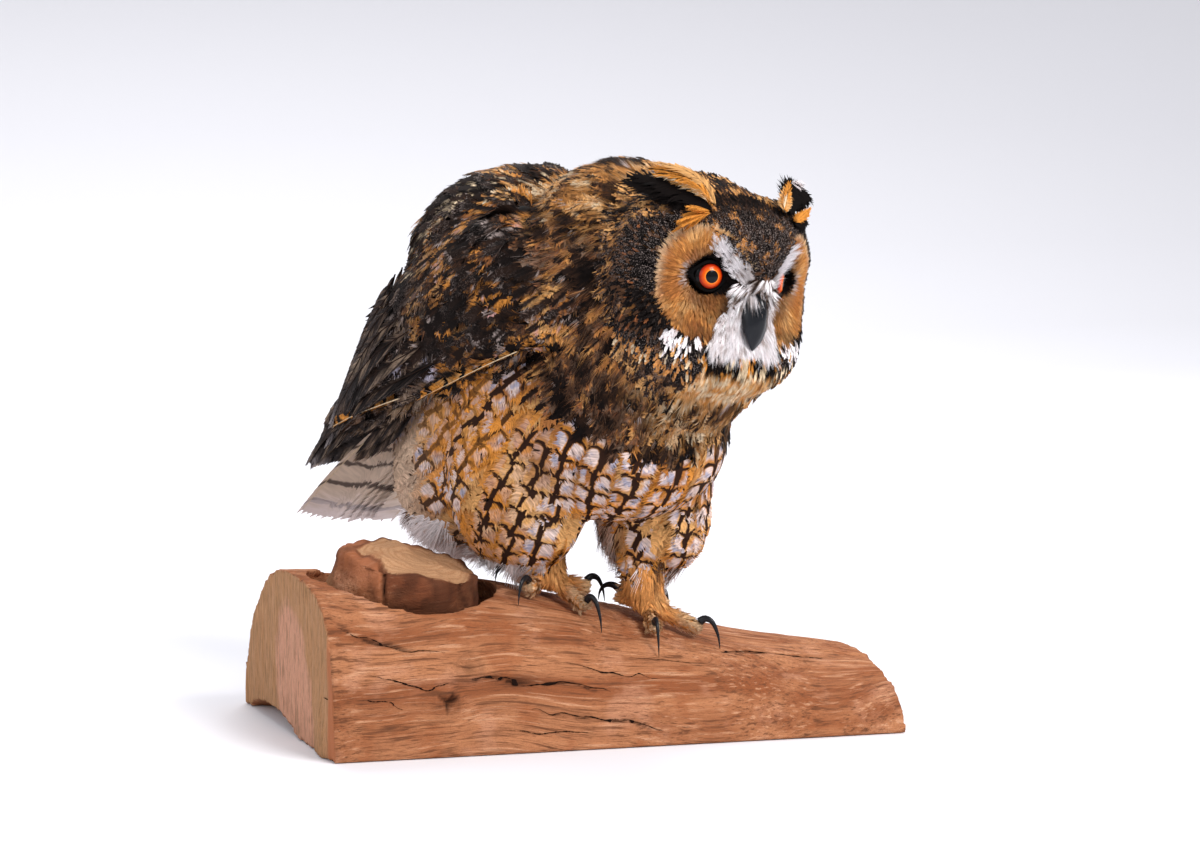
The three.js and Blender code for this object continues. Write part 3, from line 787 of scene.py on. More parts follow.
# regions of the form
discAngles = [-180, -150, -120, -90, -60, -30, 0, 30, 60, 90, 110, 130, 150, 180]
discReach = [17, 24, 33, 36, 35, 30.5, 27, 28.5, 29.5, 27.5, 24, 19, 17, 17]
browLine = [(21, 15.5), (17, 11), (12, 6), (8.5, 1.5)]  # out and up from the bill, in the head's axes
patchAngles = [-180, -160, -90, -45, 0, 45, 90, 140, 180]
patchReach = [9.8, 10.2, 7.4, 8.4, 12, 9.5, 12.8, 11.4, 9.8]


def lineGap(points, line):  # distance to a broken line, and how far along it
    line = np.asarray(line, float)
    best = np.full(len(points), 1e9)
    along = np.zeros(len(points))
    for k, step in enumerate(np.diff(line, axis=0)):
        share = np.clip(((points - line[k]) @ step) / (step @ step), 0, 1)
        gap = np.linalg.norm(points - line[k] - share[:, None] * step, axis=1)
        along = np.where(gap < best, (k + share) / (len(line) - 1), along)
        best = np.minimum(best, gap)
    return best, along


def faceZones(spots):  # "share" is 0 at the eye's centre and 1 at the rim of the face disc
    y, z = np.abs(spots[:, 1]), spots[:, 2]
    out = y - eyeSpot[1]
    angle, reach = np.degrees(np.arctan2(z, out)), np.hypot(out, z)
    front = spots[:, 0] > np.where(z < -20, 8, 4)
    zones = {
        "brow": ramp(lineGap(np.stack([y, z], 1), browLine)[0], 3.6, 2.0),
        "lores": ramp(y, 12.5, 10.5) * ramp(z, -11, -8) * ramp(z, 5, 2),
        "beard": ramp(y - np.clip(-z - 7, 0, 26) * 0.38, 11.5, 9.5) * ramp(z, -4, -8) * ramp(z, -35, -31),
        "patch": ramp(reach / np.interp(angle, patchAngles, patchReach), 1.06, 0.94),
    }
    zones = {name: value * front for name, value in zones.items()}
    return {**zones, "share": reach / np.interp(angle, discAngles, discReach), "front": front}


def whiteSpots(out, up, first, second):  # two white patches under each disc
    return (np.hypot(out - 36.5, up + 30.5) < 5.6 + first) | (np.hypot((out - 26) / 1.4, up + 28.5) < second)


headSpots = toHead(formCentres)
zones = faceZones(headSpots)
discShare = zones["share"]
headAhead, headOut, headUp = headSpots[:, 0], np.abs(headSpots[:, 1]), headSpots[:, 2]
ahead, high = formCentres[:, 0], formCentres[:, 2]
blur = np.random.default_rng(17).normal(0, 1, (2, len(formCentres))).clip(-1.6, 1.6)  # keeps the borders soft
wingLine = np.interp(ahead, [-198, -140, -79, 5, 46], [66, 92, 109, 141, 150])  # the wing's lower edge
tailLine = 96 + (ahead + 84) * 0.565
onHead, onNeck, onTrunk = (owner == name for name in ("head", "neck", "trunk"))
onWing, onThigh, onTarsus, onToe = (np.char.startswith(owner, name) for name in ("wing", "thigh", "tarsus", "toe"))
inWedge = (headOut < (headUp - 1) * 0.95 + 2) & (headUp > 1)
inBrow = onHead & (zones["brow"] > 0.45 + blur[0] * 0.2)
inLores = onHead & (zones["lores"] > 0.4 + blur[0] * 0.15) & ~inBrow
inBeard = onHead & (zones["beard"] > 0.4 + blur[1] * 0.15) & ~inLores
isPale = inBrow | inLores | inBeard
inDisc = onHead & zones["front"] & (discShare < 0.86) & ~inWedge & ~isPale
inChin = onHead & (headOut < 24) & (headUp < -30) & (headAhead > 12) & ~inBeard & (~inDisc | (headOut < 16))
inWhite = onHead & whiteSpots(headOut, headUp, blur[0], 1.9 + blur[1] * 0.4) & (headAhead > 0)
inDisc &= ~inChin & ~inWhite
inRuff = onHead & (discShare >= 0.84) & (discShare < np.where(headUp < -25, 1.4, 1.2)) & (headAhead > -6)
inRuff = (inRuff & (headUp < 24) & ~inWedge & ~isPale & ~inChin) | inWhite
inForehead = onHead & (headAhead > 16) & (headUp > 0) & ~inDisc & ~inRuff & ~inBrow & ~inLores
inCrown = onHead & ~inDisc & ~inRuff & ~inForehead & ~isPale & ~inChin
underWing = 18 * ramp(-ahead, 0, 26)  # the flank goes on a little way under the wing
inBack = onTrunk & (high > np.maximum(wingLine - 4 + underWing, tailLine))
inUnder = (onTrunk & ~inBack) | onThigh
inVent = inUnder & (ahead < -82) & (high < wingLine - 4)

# face: radiating strands, white brows and bristles, black round the eyes
faceLook = {"spacing": 0.9, "length": 6.2, "width": 0.75, "beardLength": 9.5, "browLength": 6.0}


def makeFace():
    coat = Coat("face_coat", 11)
    dice = coat.dice

    def bristles(mask, seed, spacing, length, width, rise, lie, paintIt, blades=9, thin=0.055, steps=2):
        points, normals, spots = scatter(mask, spacing, seed)
        inner = toHead(points)
        eyes = np.stack([0 * inner[:, 0] + 25.5, np.sign(inner[:, 1]) * 20.5, 0 * inner[:, 0]], 1)
        keep = np.linalg.norm(inner - eyes, axis=1) > eyeSize + 0.8
        points, inner = points[keep], inner[keep]
        count = len(points)
        lengths = length(inner) * dice.uniform(0.75, 1.2, count)
        paths = combed(points, normals[keep], lengths, lie, steps, dice.normal(0, 0.17, count))
        tip = rise(inner) * dice.uniform(0.6, 1.3, count)
        shape = strands(blades, thin, seed)
        width = width * dice.uniform(0.75, 1.3, count)
        made = grown(paths, shape, width, (-0.9, tip), seed, cup=0.0, ragged=0.12, swell=1.2)
        coat.add(made, shape, spots[keep], varied(paintIt(inner, points), dice, 0.13))

    def discPaint(inner, points):
        zone = faceZones(inner)
        y, z, share = np.abs(inner[:, 1]), inner[:, 2], zone["share"]
        color = blotched(points, 8.0, 1.0, "rufous 0.42 tawny 0.6 sand", dice)
        freckled = blotched(points, 3.4, 2.0, "brown 0.46 rust 0.6 tawny", dice)
        shade = ramp(np.hypot(y - 19.5, z + 4), 17, 9) * ramp(y, 30, 24)
        tabby = np.sin(share * 46 + softNoise(points, 5.0, 3.0)[:, 0] * 7) > 0.55
        # painted shade: a brown darkening on the disc's inner side, along the beard
        inside = ramp(y - np.clip(-z - 7, 0, 26) * 0.27, 17.5, 13.5) * ramp(z, -3, -8)
        corner = ramp(np.abs(np.hypot(y - 24.5, z) - 9.2), 1.3, 0.5) * ramp(y, 29, 31) * ramp(np.abs(z), 6, 3.5)
        for amount, tint in (
            (ramp(z, -12, -22) * ramp(share, 0.3, 0.5) * 0.6, freckled),
            (ramp(share, 0.66, 0.86) * ramp(z, -20, 0) * 0.6, plumage["cream"]),
            (ramp(share, 0.56, 0.34) * ramp(y, 21, 27) * 0.55, plumage["greyBrown"]),
            (shade * 0.6, plumage["brown"]),
            (tabby * ramp(share, 0.45, 0.6) * ramp(z, 8, -6) * 0.4, plumage["brown"]),
            (inside * 0.85, plumage["brown"] * 0.75),
            (zone["patch"], plumage["black"]),
            (corner * 0.8, plumage["greyPale"]),
        ):
            color = mixed(amount, color, tint)
        return color

    def fan(centre, across, forward=0.0):
        def lie(places, ups):
            inner = toHead(places)
            ways = [0 * inner[:, 1] + forward, inner[:, 1] * across, inner[:, 2] - centre]
            return unit(np.stack(ways, 1)) @ headAxes.T
        return lie

    def discLength(inner):
        zone = faceZones(inner)
        rim = 0.5 + 0.5 * ramp(zone["share"], 0.3, 0.6) - 0.42 * ramp(zone["share"], 0.66, 0.84)
        return np.where(zone["patch"] > 0.4, 3.0, faceLook["length"] * rim)

    def browPaint(inner, points):
        white = blotched(points, 3.0, 4.0, "greyPale 0.3 white", dice, 0.08)
        return mixed(ramp(np.abs(inner[:, 1]), 11, 6) * 0.5, white, plumage["greyBrown"])

    def byReach(base, more, near, far):  # grows with the distance from the middle of the face
        return lambda inner: base + more * ramp(np.abs(inner[:, 1]), near, far)

    level = lambda value: lambda inner: np.full(len(inner), value)
    greyTints = "darkBrown 0.38 greyBrown 0.45 greyPale 0.54 white"
    greys = lambda inner, points: blotched(points, 1.8, 4.0, greyTints, dice, 0.1)
    whites = lambda inner, points: blotched(points, 2.6, 4.0, "greyPale 0.3 pale 0.42 white", dice, 0.06)
    browRise = lambda inner: 1.8 + 1.8 * ramp(inner[:, 1], 4, 9)
    beardLength = byReach(0.6 * faceLook["beardLength"], 0.4 * faceLook["beardLength"], 2, 7)
    bristles(inDisc, 12, faceLook["spacing"], discLength, faceLook["width"], level(0.8), faceLie, discPaint, 7, 0.1)
    bristles(inBrow, 13, 0.9, level(faceLook["browLength"]), 1.0, browRise, fan(-6, 0.9, -1.5), browPaint)
    bristles(inLores, 14, 0.95, level(7.6), 1.0, byReach(2.0, 3.6, 3, 9), fan(6, 0.7, -1.0), greys, 8, 0.06)
    bristles(inBeard, 15, 0.85, beardLength, 1.1, byReach(0.6, 1.2, 4, 9), fan(10, 0.6), whites, steps=3)
    # bristles that lie over the top of the bill
    count = 90
    spread = dice.uniform(-7.5, 7.5, count)
    lines = [fromHead([(37, y * 0.75, 1), (45.0 - abs(y) * 0.3, y * 0.95, -5),
                       (50.4 - abs(y) * 0.42, y * 1.05, -11 - dice.uniform(0, 5))]) for y in spread]
    paths = freePaths(lines, np.array([(0.9, 0.12 * y, 0.5) for y in spread]) @ headAxes.T, 4)
    shape = strands(7, 0.06, 17)
    width = dice.uniform(0.7, 1.3, count)
    made = grown(paths, shape, width, (-0.5, dice.uniform(0.2, 1.2, count)), 18, cup=0.0, ragged=0.12)
    coat.add(made, shape, (0.03, 0.03), varied(greys(None, paths[0][:, 0]), dice))
    coat.make(featherFinish("faceStrands", strands=7), "feather_mottled")


makeFace()

# ruff round the face: small stiff scales, black with fine white and buff flecks, and a streaked chin
ruffLook = {"spacing": 1.6, "length": 4.6, "width": 1.1, "chinSpacing": 1.5, "chinLength": 9.0, "chinWidth": 1.2}


def makeRuff():
    coat = Coat("ruff_coat", 21)
    dice = coat.dice
    roots = scatter(inRuff, ruffLook["spacing"], 21)
    inner = toHead(roots[0])
    out, up, share = np.abs(inner[:, 1]), inner[:, 2], faceZones(inner)["share"]
    count = len(inner)
    color = np.broadcast_to(plumage["black"], (count, 3)).copy()
    fleck = dice.random(count)
    white = whiteSpots(out, up, dice.normal(0, 0.8, count), 2.4 + dice.normal(0, 0.4, count))
    rim = (share > 1.06) & ~white & (up > -30)
    for where, least, tint in (
        (True, 0.9, "brown"), (up < -34, 0.5, "tawny"), (up < -34, 0.84, "cream"), (white, 0.1, "white"),
        (white, 0.7, "pale"), (white, 0.92, "sand"), (rim, 0.62, "brown"), (rim, 0.96, "rust"),
    ):
        color[where & (fleck > least)] = plumage[tint]
    flecks = np.where(white, 0, 0.6 * (1 - ramp(up, -6, -12) * ramp(up, -32, -26) * 0.85))
    shape = vane(5)
    length = ruffLook["length"] * np.where(up < -25, 1.4, 1)
    made, *_ = coat.comb(roots, shape, length, (0.8, 1.25), ruffLook["width"], (0.8, 1.2), (0.4, 1.3), 22, faceLie, 2,
                         0.25, ragged=0.12, tilt=0.3)
    coat.add(made, shape, roots[2], varied(color, dice, 0.15), pale=flecks)
    # the chin
    roots = scatter(inChin, ruffLook["chinSpacing"], 23)
    points = roots[0]
    pick = softNoise(points * [1, 1, 0.1], 1.7, 3.0)[:, 0] + dice.normal(0, 0.06, len(points))
    color = np.where((pick > 0.49)[:, None], plumage["black"], plumage["orange"])
    color[pick < 0.4] = plumage["cream"]
    light = blotched(points, 4.0, 5.0, "tawny 0.45 sand 0.58 cream", dice, 0.08)
    color = mixed(ramp(toHead(points)[:, 2], -42, -46) * 0.85, color, light)
    shape = strands(7, 0.1, 8)
    made, *_ = coat.comb(roots, shape, ruffLook["chinLength"], (0.7, 1.2), ruffLook["chinWidth"], None, (0.6, 2.0), 24,
                         base=-0.9, cup=0.0, ragged=0.1)
    coat.add(made, shape, roots[2], varied(color, dice, 0.15))
    coat.make(featherFinish("ruffScales", pepper=0.9, strands=8), "feather_mottled")


makeRuff()

# crown and forehead
crownLook = {"spacing": 2.5, "length": 11.0, "width": 2.8, "foreheadSize": 0.5}


def makeCrown():
    coat = Coat("crown_coat", 31)
    dice = coat.dice
    for mask, size, seed, barbs in ((inCrown, 1.0, 31, 9), (inForehead, crownLook["foreheadSize"], 32, 5)):
        roots = scatter(mask, crownLook["spacing"] * size, seed)
        count = len(roots[0])
        shape = vane(barbs, inner=0.5)
        made, paths, *_ = coat.comb(roots, shape, crownLook["length"] * size, (0.8, 1.2), crownLook["width"] * size,
                                    (0.85, 1.2), (0.0, 1.2), seed, bodyLie, 2, 0.15, -2.0, ragged=0.12, tilt=0.14)
        inner = toHead(roots[0])
        if size < 1:
            tints = "black 0.5 darkBrown 0.58 brown 0.65 tawny"
            color = coat.patched(made, paths, 5.0, 3.1, tints, jitter=0.5, fray=0.3)
            flecks = 0.75 * ramp(inner[:, 2], 36, 24)
        else:
            top = coat.patched(made, paths, 9.0, 3.1, "black 0.45 darkBrown 0.5 brown 0.54 tawny 0.6 sand", 0.4)
            side = "black 0.3 darkBrown 0.37 brown 0.46 greyBrown 0.52 tawny 0.6 sand"
            side = coat.patched(made, paths, 5.0, 6.1, side)
            share = ramp(np.abs(inner[:, 1]), 26, 36) * ramp(inner[:, 2], 34, 20)
            color = mixed(np.broadcast_to(share[:, None], made.shape[:2]), top, side)
            flecks = dice.random(count) * (0.15 + 0.45 * share)
        mark = np.where(dice.random((count, 1)) > 0.5, plumage["black"], plumage["darkBrown"])
        narrow = dice.uniform(0.1, 0.35, count) * (dice.random(count) > 0.3)
        coat.add(made, shape, roots[2], varied(color, dice), mark, narrow, pale=flecks)
    coat.make(featherFinish("crownFeathers", streak=True, mottle=0.4, pepper=0.8, strands=16), "feather_mottled")


makeCrown()

# ear tufts: a black leaf of long feathers, orange-buff over and under it; line, feathers, width, tint, spread, barbs
earLook = {
    "right": {"up": (0.1, -0.75, 0.6), "groups": (
        ([(27, -26.5, 32), (15.6, -32, 36.6), (3.7, -39, 38.7), (-6.4, -44, 38.4), (-18, -47, 38)],
         14, 7, "black", 3.4, 30),
        ([(26.4, -25, 34.5), (22, -29, 42), (13.2, -34, 46.5), (2.1, -39, 46.5), (-8, -43, 45)],
         16, 3.6, "sand", 2.2, 28),
        ([(26.5, -27, 31), (25.4, -36, 28), (22.6, -44, 22.8)], 18, 2.2, "orange", 3.4, 18)),
        "highlightHairs": [(10, -33.5, 43.6), (-2, -39, 44.4), (-12, -44, 42.6)]},
    "left": {"up": (0.8, 0.1, 0.6), "groups": (
        ([(26, 23, 34), (19, 28, 43), (14.5, 31, 48), (14, 36, 45), (15.5, 42.5, 39)], 22, 7.2, "black", 2.2, 28),
        ([(28, 18, 35.5), (23.5, 20.5, 41), (18, 24, 47)], 12, 3.4, "sand", 1.5, 20),
        ([(28.5, 25, 31.5), (25.5, 31, 34.4), (21, 38.5, 37)], 12, 2.1, "orange", 1.3, 16),
        ([(29, 25, 29.5), (26, 31, 30.5), (21, 38.5, 31.5)], 14, 4.0, "black", 1.8, 16)),
        "highlightHairs": [(16, 29, 49), (15, 35, 46.4), (16, 40.5, 42)]},
}


def makeEars():
    finish = featherFinish("earFeathers", strands=60, streak=True)
    for side, sign in sides.items():
        look = earLook[side]
        coat = Coat(f"ear_tuft_{side}_feathers", 100 + sign)
        dice = coat.dice
        for line, number, width, tint, spread, barbs in look["groups"]:
            base = np.array(line, float)
            lines, ups = [], []
            grow = np.linspace(0, 1, len(base))[:, None]
            for k in range(number):
                shift = dice.normal(0, 1, 3) * spread
                way = base[0] + (base - base[0]) * dice.uniform(0.62, 1.02)
                lines.append(fromHead(way + shift * [0.5, 0.5, 0.9] * grow + dice.normal(0, 0.5, 3)))
                ups.append(unit(np.array(look["up"]) + dice.normal(0, 0.16, 3)) @ headAxes.T)
            shape = vane(barbs, inner=0.45, waist=0.7)
            width, tip = width * dice.uniform(0.8, 1.1, number), dice.uniform(-0.8, 1.2, number)
            made = grown(freePaths(lines, ups, 7), shape, width, (0, tip), 101 + sign, cup=0.25, ragged=0.1)
            color = np.broadcast_to(plumage[tint], (number, 3)).copy()
            if tint == "sand":
                color[::3] = plumage["orange"]
                color[1::3] = plumage["cream"]
            narrow = np.where(dice.random(number) > 0.8, 0.08, 0) * (tint == "sand")
            coat.add(made, shape, (0.02 + 0.01 * sign, 0.98), varied(color, dice), plumage["black"], narrow)
        # fine white hairs along the top of the leaf, a painted highlight on the black leaf
        base = np.array(look["highlightHairs"], float)
        lines = [fromHead(base[0] + (base - base[0]) * dice.uniform(0.5, 1.05) + dice.normal(0, 0.8, 3))
                 for _ in range(12)]
        paths = freePaths(lines, np.broadcast_to(np.array(look["up"]) @ headAxes.T, (12, 3)), 5)
        shape = strands(5, 0.05, 9)
        coat.add(grown(paths, shape, 1.3, (0.8, 1.8), 102, cup=0, ragged=0.1), shape, (0.97, 0.97), plumage["pale"])
        coat.make(finish, "feather_dark", f"ear_tuft_{side}")


makeEars()


def tufts(coat, mask, spacing, length, width, rise, seed, colorIt):
    # a loose layer of fine strands that softens the edges of the feathers under it
    roots = scatter(mask, spacing, seed)
    dice = coat.dice
    shape = strands(9, 0.055, seed)
    made, paths, *_ = coat.comb(roots, shape, length, (0.7, 1.25), width, (0.7, 1.3), (rise * 0.3, rise * 1.2), seed,
                                swing=0.2, base=-2.2, cup=0.02, ragged=0.12, swell=1.3)
    color = colorIt(made, paths)
    color[dice.random(len(color)) > 0.97] = plumage["greyPale"]
    coat.add(made, shape, roots[2], varied(color, dice), color[:, 0])


# neck and upper breast: soft, blurred mottling
neckLook = {"spacing": 4.0, "length": 21.0, "width": 5.2, "tuftSpacing": 3.3, "tuftLength": 15, "tuftWidth": 2.6}


def makeNeck():
    coat = Coat("neck_coat", 41)
    dice = coat.dice

    def neckPaint(made, paths):
        color = coat.patched(made, paths, 8.5, 1.7,
                             "black 0.4 darkBrown 0.47 brown 0.55 greyBrown 0.61 rust 0.66 tawny 0.73 sand")
        warm = coat.patched(made, paths, 8.0, 6.7, "black 0.38 darkBrown 0.44 brown 0.5 tawny 0.6 sand 0.7 cream")
        color = mixed(ramp(made[..., 2], 192, 212) * 0.85, color, warm)
        pale = coat.patched(made, paths, 6.5, 8.7, "black 0.46 brown 0.5 tawny 0.57 sand 0.66 cream")
        return mixed(ramp(made[..., 0], 50, 72) * ramp(made[..., 2], 136, 118) * 0.75, color, pale)

    roots = scatter(onNeck, neckLook["spacing"], 41)
    count = len(roots[0])
    shape = vane(15, inner=0.42)
    made, paths, *_ = coat.comb(roots, shape, neckLook["length"], (0.75, 1.25), neckLook["width"], (0.75, 1.2),
                                (-0.6, 0.9), 42, swing=0.16, base=-3.4, ragged=0.13, tilt=0.12)
    color = neckPaint(made, paths)
    mark = coat.darks(count)
    narrow = dice.uniform(0.0, 0.3, count) * (dice.random(count) > 0.45)
    coat.add(made, shape, roots[2], varied(color, dice, 0.1), mark, narrow)
    tufts(coat, onNeck, neckLook["tuftSpacing"], neckLook["tuftLength"], neckLook["tuftWidth"], 1.4, 43, neckPaint)
    coat.make(featherFinish("neckFeathers", streak=True, mottle=0.3, strands=38), "feather_mottled")


makeNeck()

# back and shoulders: blackish brown, orange-buff patches, fine grey speckle
backLook = {"spacing": 4.8, "length": 24.0, "width": 6.6, "tuftSpacing": 3.9, "tuftLength": 14, "tuftWidth": 2.4}


def makeBack():
    coat = Coat("back_coat", 51)
    dice = coat.dice

    def backPaint(made, paths):
        flecks = coat.patched(made, paths, 4.6, 12.7, "black 0.71 cream", 0.5, 0.6)
        tints = "black 0.47 darkBrown 0.53 brown 0.575 rust 0.6 orange 0.67 sand"
        return np.maximum(flecks, coat.patched(made, paths, 13.0, 5.3, tints, 0.45, 1.1))

    def lift(count):  # a few feathers stand up
        return np.where(dice.random(count) > 0.94, dice.uniform(1.5, 3, count), dice.uniform(-0.2, 1.1, count))

    roots = scatter(inBack, backLook["spacing"], 51)
    count = len(roots[0])
    shape = vane(16, inner=0.55)
    made, paths, *_ = coat.comb(roots, shape, backLook["length"], (0.8, 1.25), backLook["width"], (0.8, 1.2), lift, 52,
                                base=-3.4, ragged=0.1, tilt=0.1)
    color = backPaint(made, paths)
    mark = coat.darks(count)
    coat.add(made, shape, roots[2], varied(color, dice), mark, dice.uniform(0.05, 0.36, count),
             pale=dice.random(count) ** 2 * 0.9)
    tufts(coat, inBack, backLook["tuftSpacing"], backLook["tuftLength"], backLook["tuftWidth"], 1.3, 53, backPaint)
    coat.make(featherFinish("backFeathers", streak=True, mottle=0.45, fleck=1.0, strands=36), "feather_mottled")


makeBack()

# wings: coverts over the shoulder, long flight feathers behind them
wingLook = {
    "spacing": 5.0, "length": 26.0, "width": 7.0, "tuftSpacing": 4.2, "tuftLength": 13, "tuftWidth": 2.2,
    "flightWidth": 8.0, "primaryWidth": 7.5, "vaneWidths": (7.5, 8.5), "quills": (0.05, 0.065),
    "low": [(46, 44, 150), (5, 57, 141), (-79, 51, 109), (-140, 40, 92), (-198, 23, 66)],
    "high": [(38, 32, 190), (-30, 34, 214), (-100, 14, 197), (-140, 4, 147), (-193, 4, 78)],
    "edge": [(-216, 55), (-169, 84), (-135, 96), (-100, 106), (-77, 109), (-30, 128.5), (20, 149), (46, 158)],
    "primary": [(-60, 50, 117), (-100, 50, 107), (-135, 43, 97.5), (-169, 35, 86), (-196, 26, 71), (-217, 18, 56)],
    "under": [  # the soft undersides below the leading edge
        [(-96, 48, 105), (-120, 46, 98), (-150, 40, 88), (-182, 31, 76), (-215, 19, 57)],
        [(-97, 47, 102), (-118, 44, 92), (-145, 38, 81), (-175, 30, 71), (-208, 22, 60)],
        [(-99, 45, 98), (-118, 42, 88), (-138, 37, 79), (-160, 32, 72), (-188, 26, 66)],
    ],
    "leading": [[(-2, 58.5, 139.5), (-25, 59, 130.5), (-52, 57.5, 119.5), (-80, 54.5, 108.5)],
                [(-98, 52.5, 107.5), (-120, 49, 101), (-145, 43, 93.5), (-170, 37, 84.5)]],
}
lowLine, highLine = smoothLine(wingLook["low"], 200), smoothLine(wingLook["high"], 200)


def edgeHeight(points):  # height over the folded wing's lower edge
    return points[..., 2] - np.interp(points[..., 0], *np.array(wingLook["edge"], float).T)


def wingSpot(along, across, sign, out):
    pick = lambda line: np.stack([np.interp(along, np.linspace(0, 1, 201), line[:, k]) for k in range(3)], -1)
    arch = np.sin(np.pi * np.clip(across, 0, 1)) ** 0.8 * 24 * np.sin(np.pi * (0.12 + 0.83 * along))
    half = 4.5 * (1 - 0.72 * along) + out
    place = pick(lowLine) * (1 - across) + pick(highLine) * across
    place = place + arch[:, None] * np.array([-0.3, 0.9, 0.3]) + half[:, None] * unit(np.array([-0.15, 1, 0.25]))
    return place * [1, sign, 1]


def makeCoverts(side, sign, seed, dice, finish):
    coat = Coat(f"wing_{side}_coverts", dice)

    def covertPaint(made, paths):
        ahead, high = made[..., 0], edgeHeight(made)
        tinted = lambda *settings: coat.patched(made, paths, *settings)
        flecks = tinted(4.6, 11.3, "black 0.71 greyPale", 0.5, 0.6)
        tints = "black 0.46 darkBrown 0.52 brown 0.57 rust 0.595 orange 0.66 sand"
        color = tinted(13.0, 2.2, tints, 0.45, 1.1)
        grey = tinted(8.0, 7.2, "black 0.45 darkBrown 0.56 greyBrown 0.68 greyBuff", 0.4)
        night = ramp(high, 4, 14) * ramp(high, 52, 34) * ramp(ahead, -78, -58) * ramp(ahead, 22, 4)
        warm = ramp(high, 9, 3) * ramp(ahead, -95, -60)
        spot = np.minimum(np.hypot(ahead + 72, high - 13), np.hypot(ahead + 98, high - 17) * 1.2)
        color = mixed(ramp(-ahead, 25, 115) * 0.9, color, grey)
        color = mixed(night * 0.8, color, tinted(9.0, 4.4, "black 0.62 darkBrown 0.7 orange"))
        color = mixed(warm * 0.85, color, tinted(6.0, 9.4, "black 0.46 darkBrown 0.5 orange 0.66 sand"))
        return np.maximum(flecks, mixed(ramp(spot, 6.2, 4.4) * 0.92, color, plumage["lilacSpotAndSheen"] * 1.3))

    def covertLie(places, ups):  # along the wing's edge where it is near
        near = ramp(edgeHeight(places), 20, 7) * ramp(places[:, 0], -112, -96)
        return mixed(near, unit(bodyLie(places, ups)), np.array([-0.92, -0.06 * sign, -0.37]))

    mask = (owner == f"wing_{side}") & (ahead > -146) & (edgeHeight(formCentres) > 0)
    roots = scatter(mask, wingLook["spacing"], seed)
    count = len(roots[0])
    rear = ramp(-roots[0][:, 0], 20, 110)
    length = wingLook["length"] * (1 + 0.45 * rear) * np.where(edgeHeight(roots[0]) < 8, 0.8, 1)
    shape = vane(18, inner=0.6)
    made, paths, *_ = coat.comb(roots, shape, length, (0.85, 1.2), wingLook["width"] * (1 + 0.3 * rear), (0.85, 1.15),
                                (0.2, 1.5), seed, covertLie, 3, 0.07, -2.0, ragged=0.07, tilt=0.1, splits=0.02)
    mark = coat.darks(count)
    pale = dice.random(count) ** 1.5 * (0.35 + 0.65 * rear)
    color = varied(covertPaint(made, paths), dice)
    coat.add(made, shape, roots[2], color, mark, dice.uniform(0.05, 0.34, count), pale=pale)
    mask = mask & (ahead > -80) & (edgeHeight(formCentres) > 7)
    tufts(coat, mask, wingLook["tuftSpacing"], wingLook["tuftLength"], wingLook["tuftWidth"], 1.2, seed + 3,
          covertPaint)
    coat.make(finish, "feather_dark")


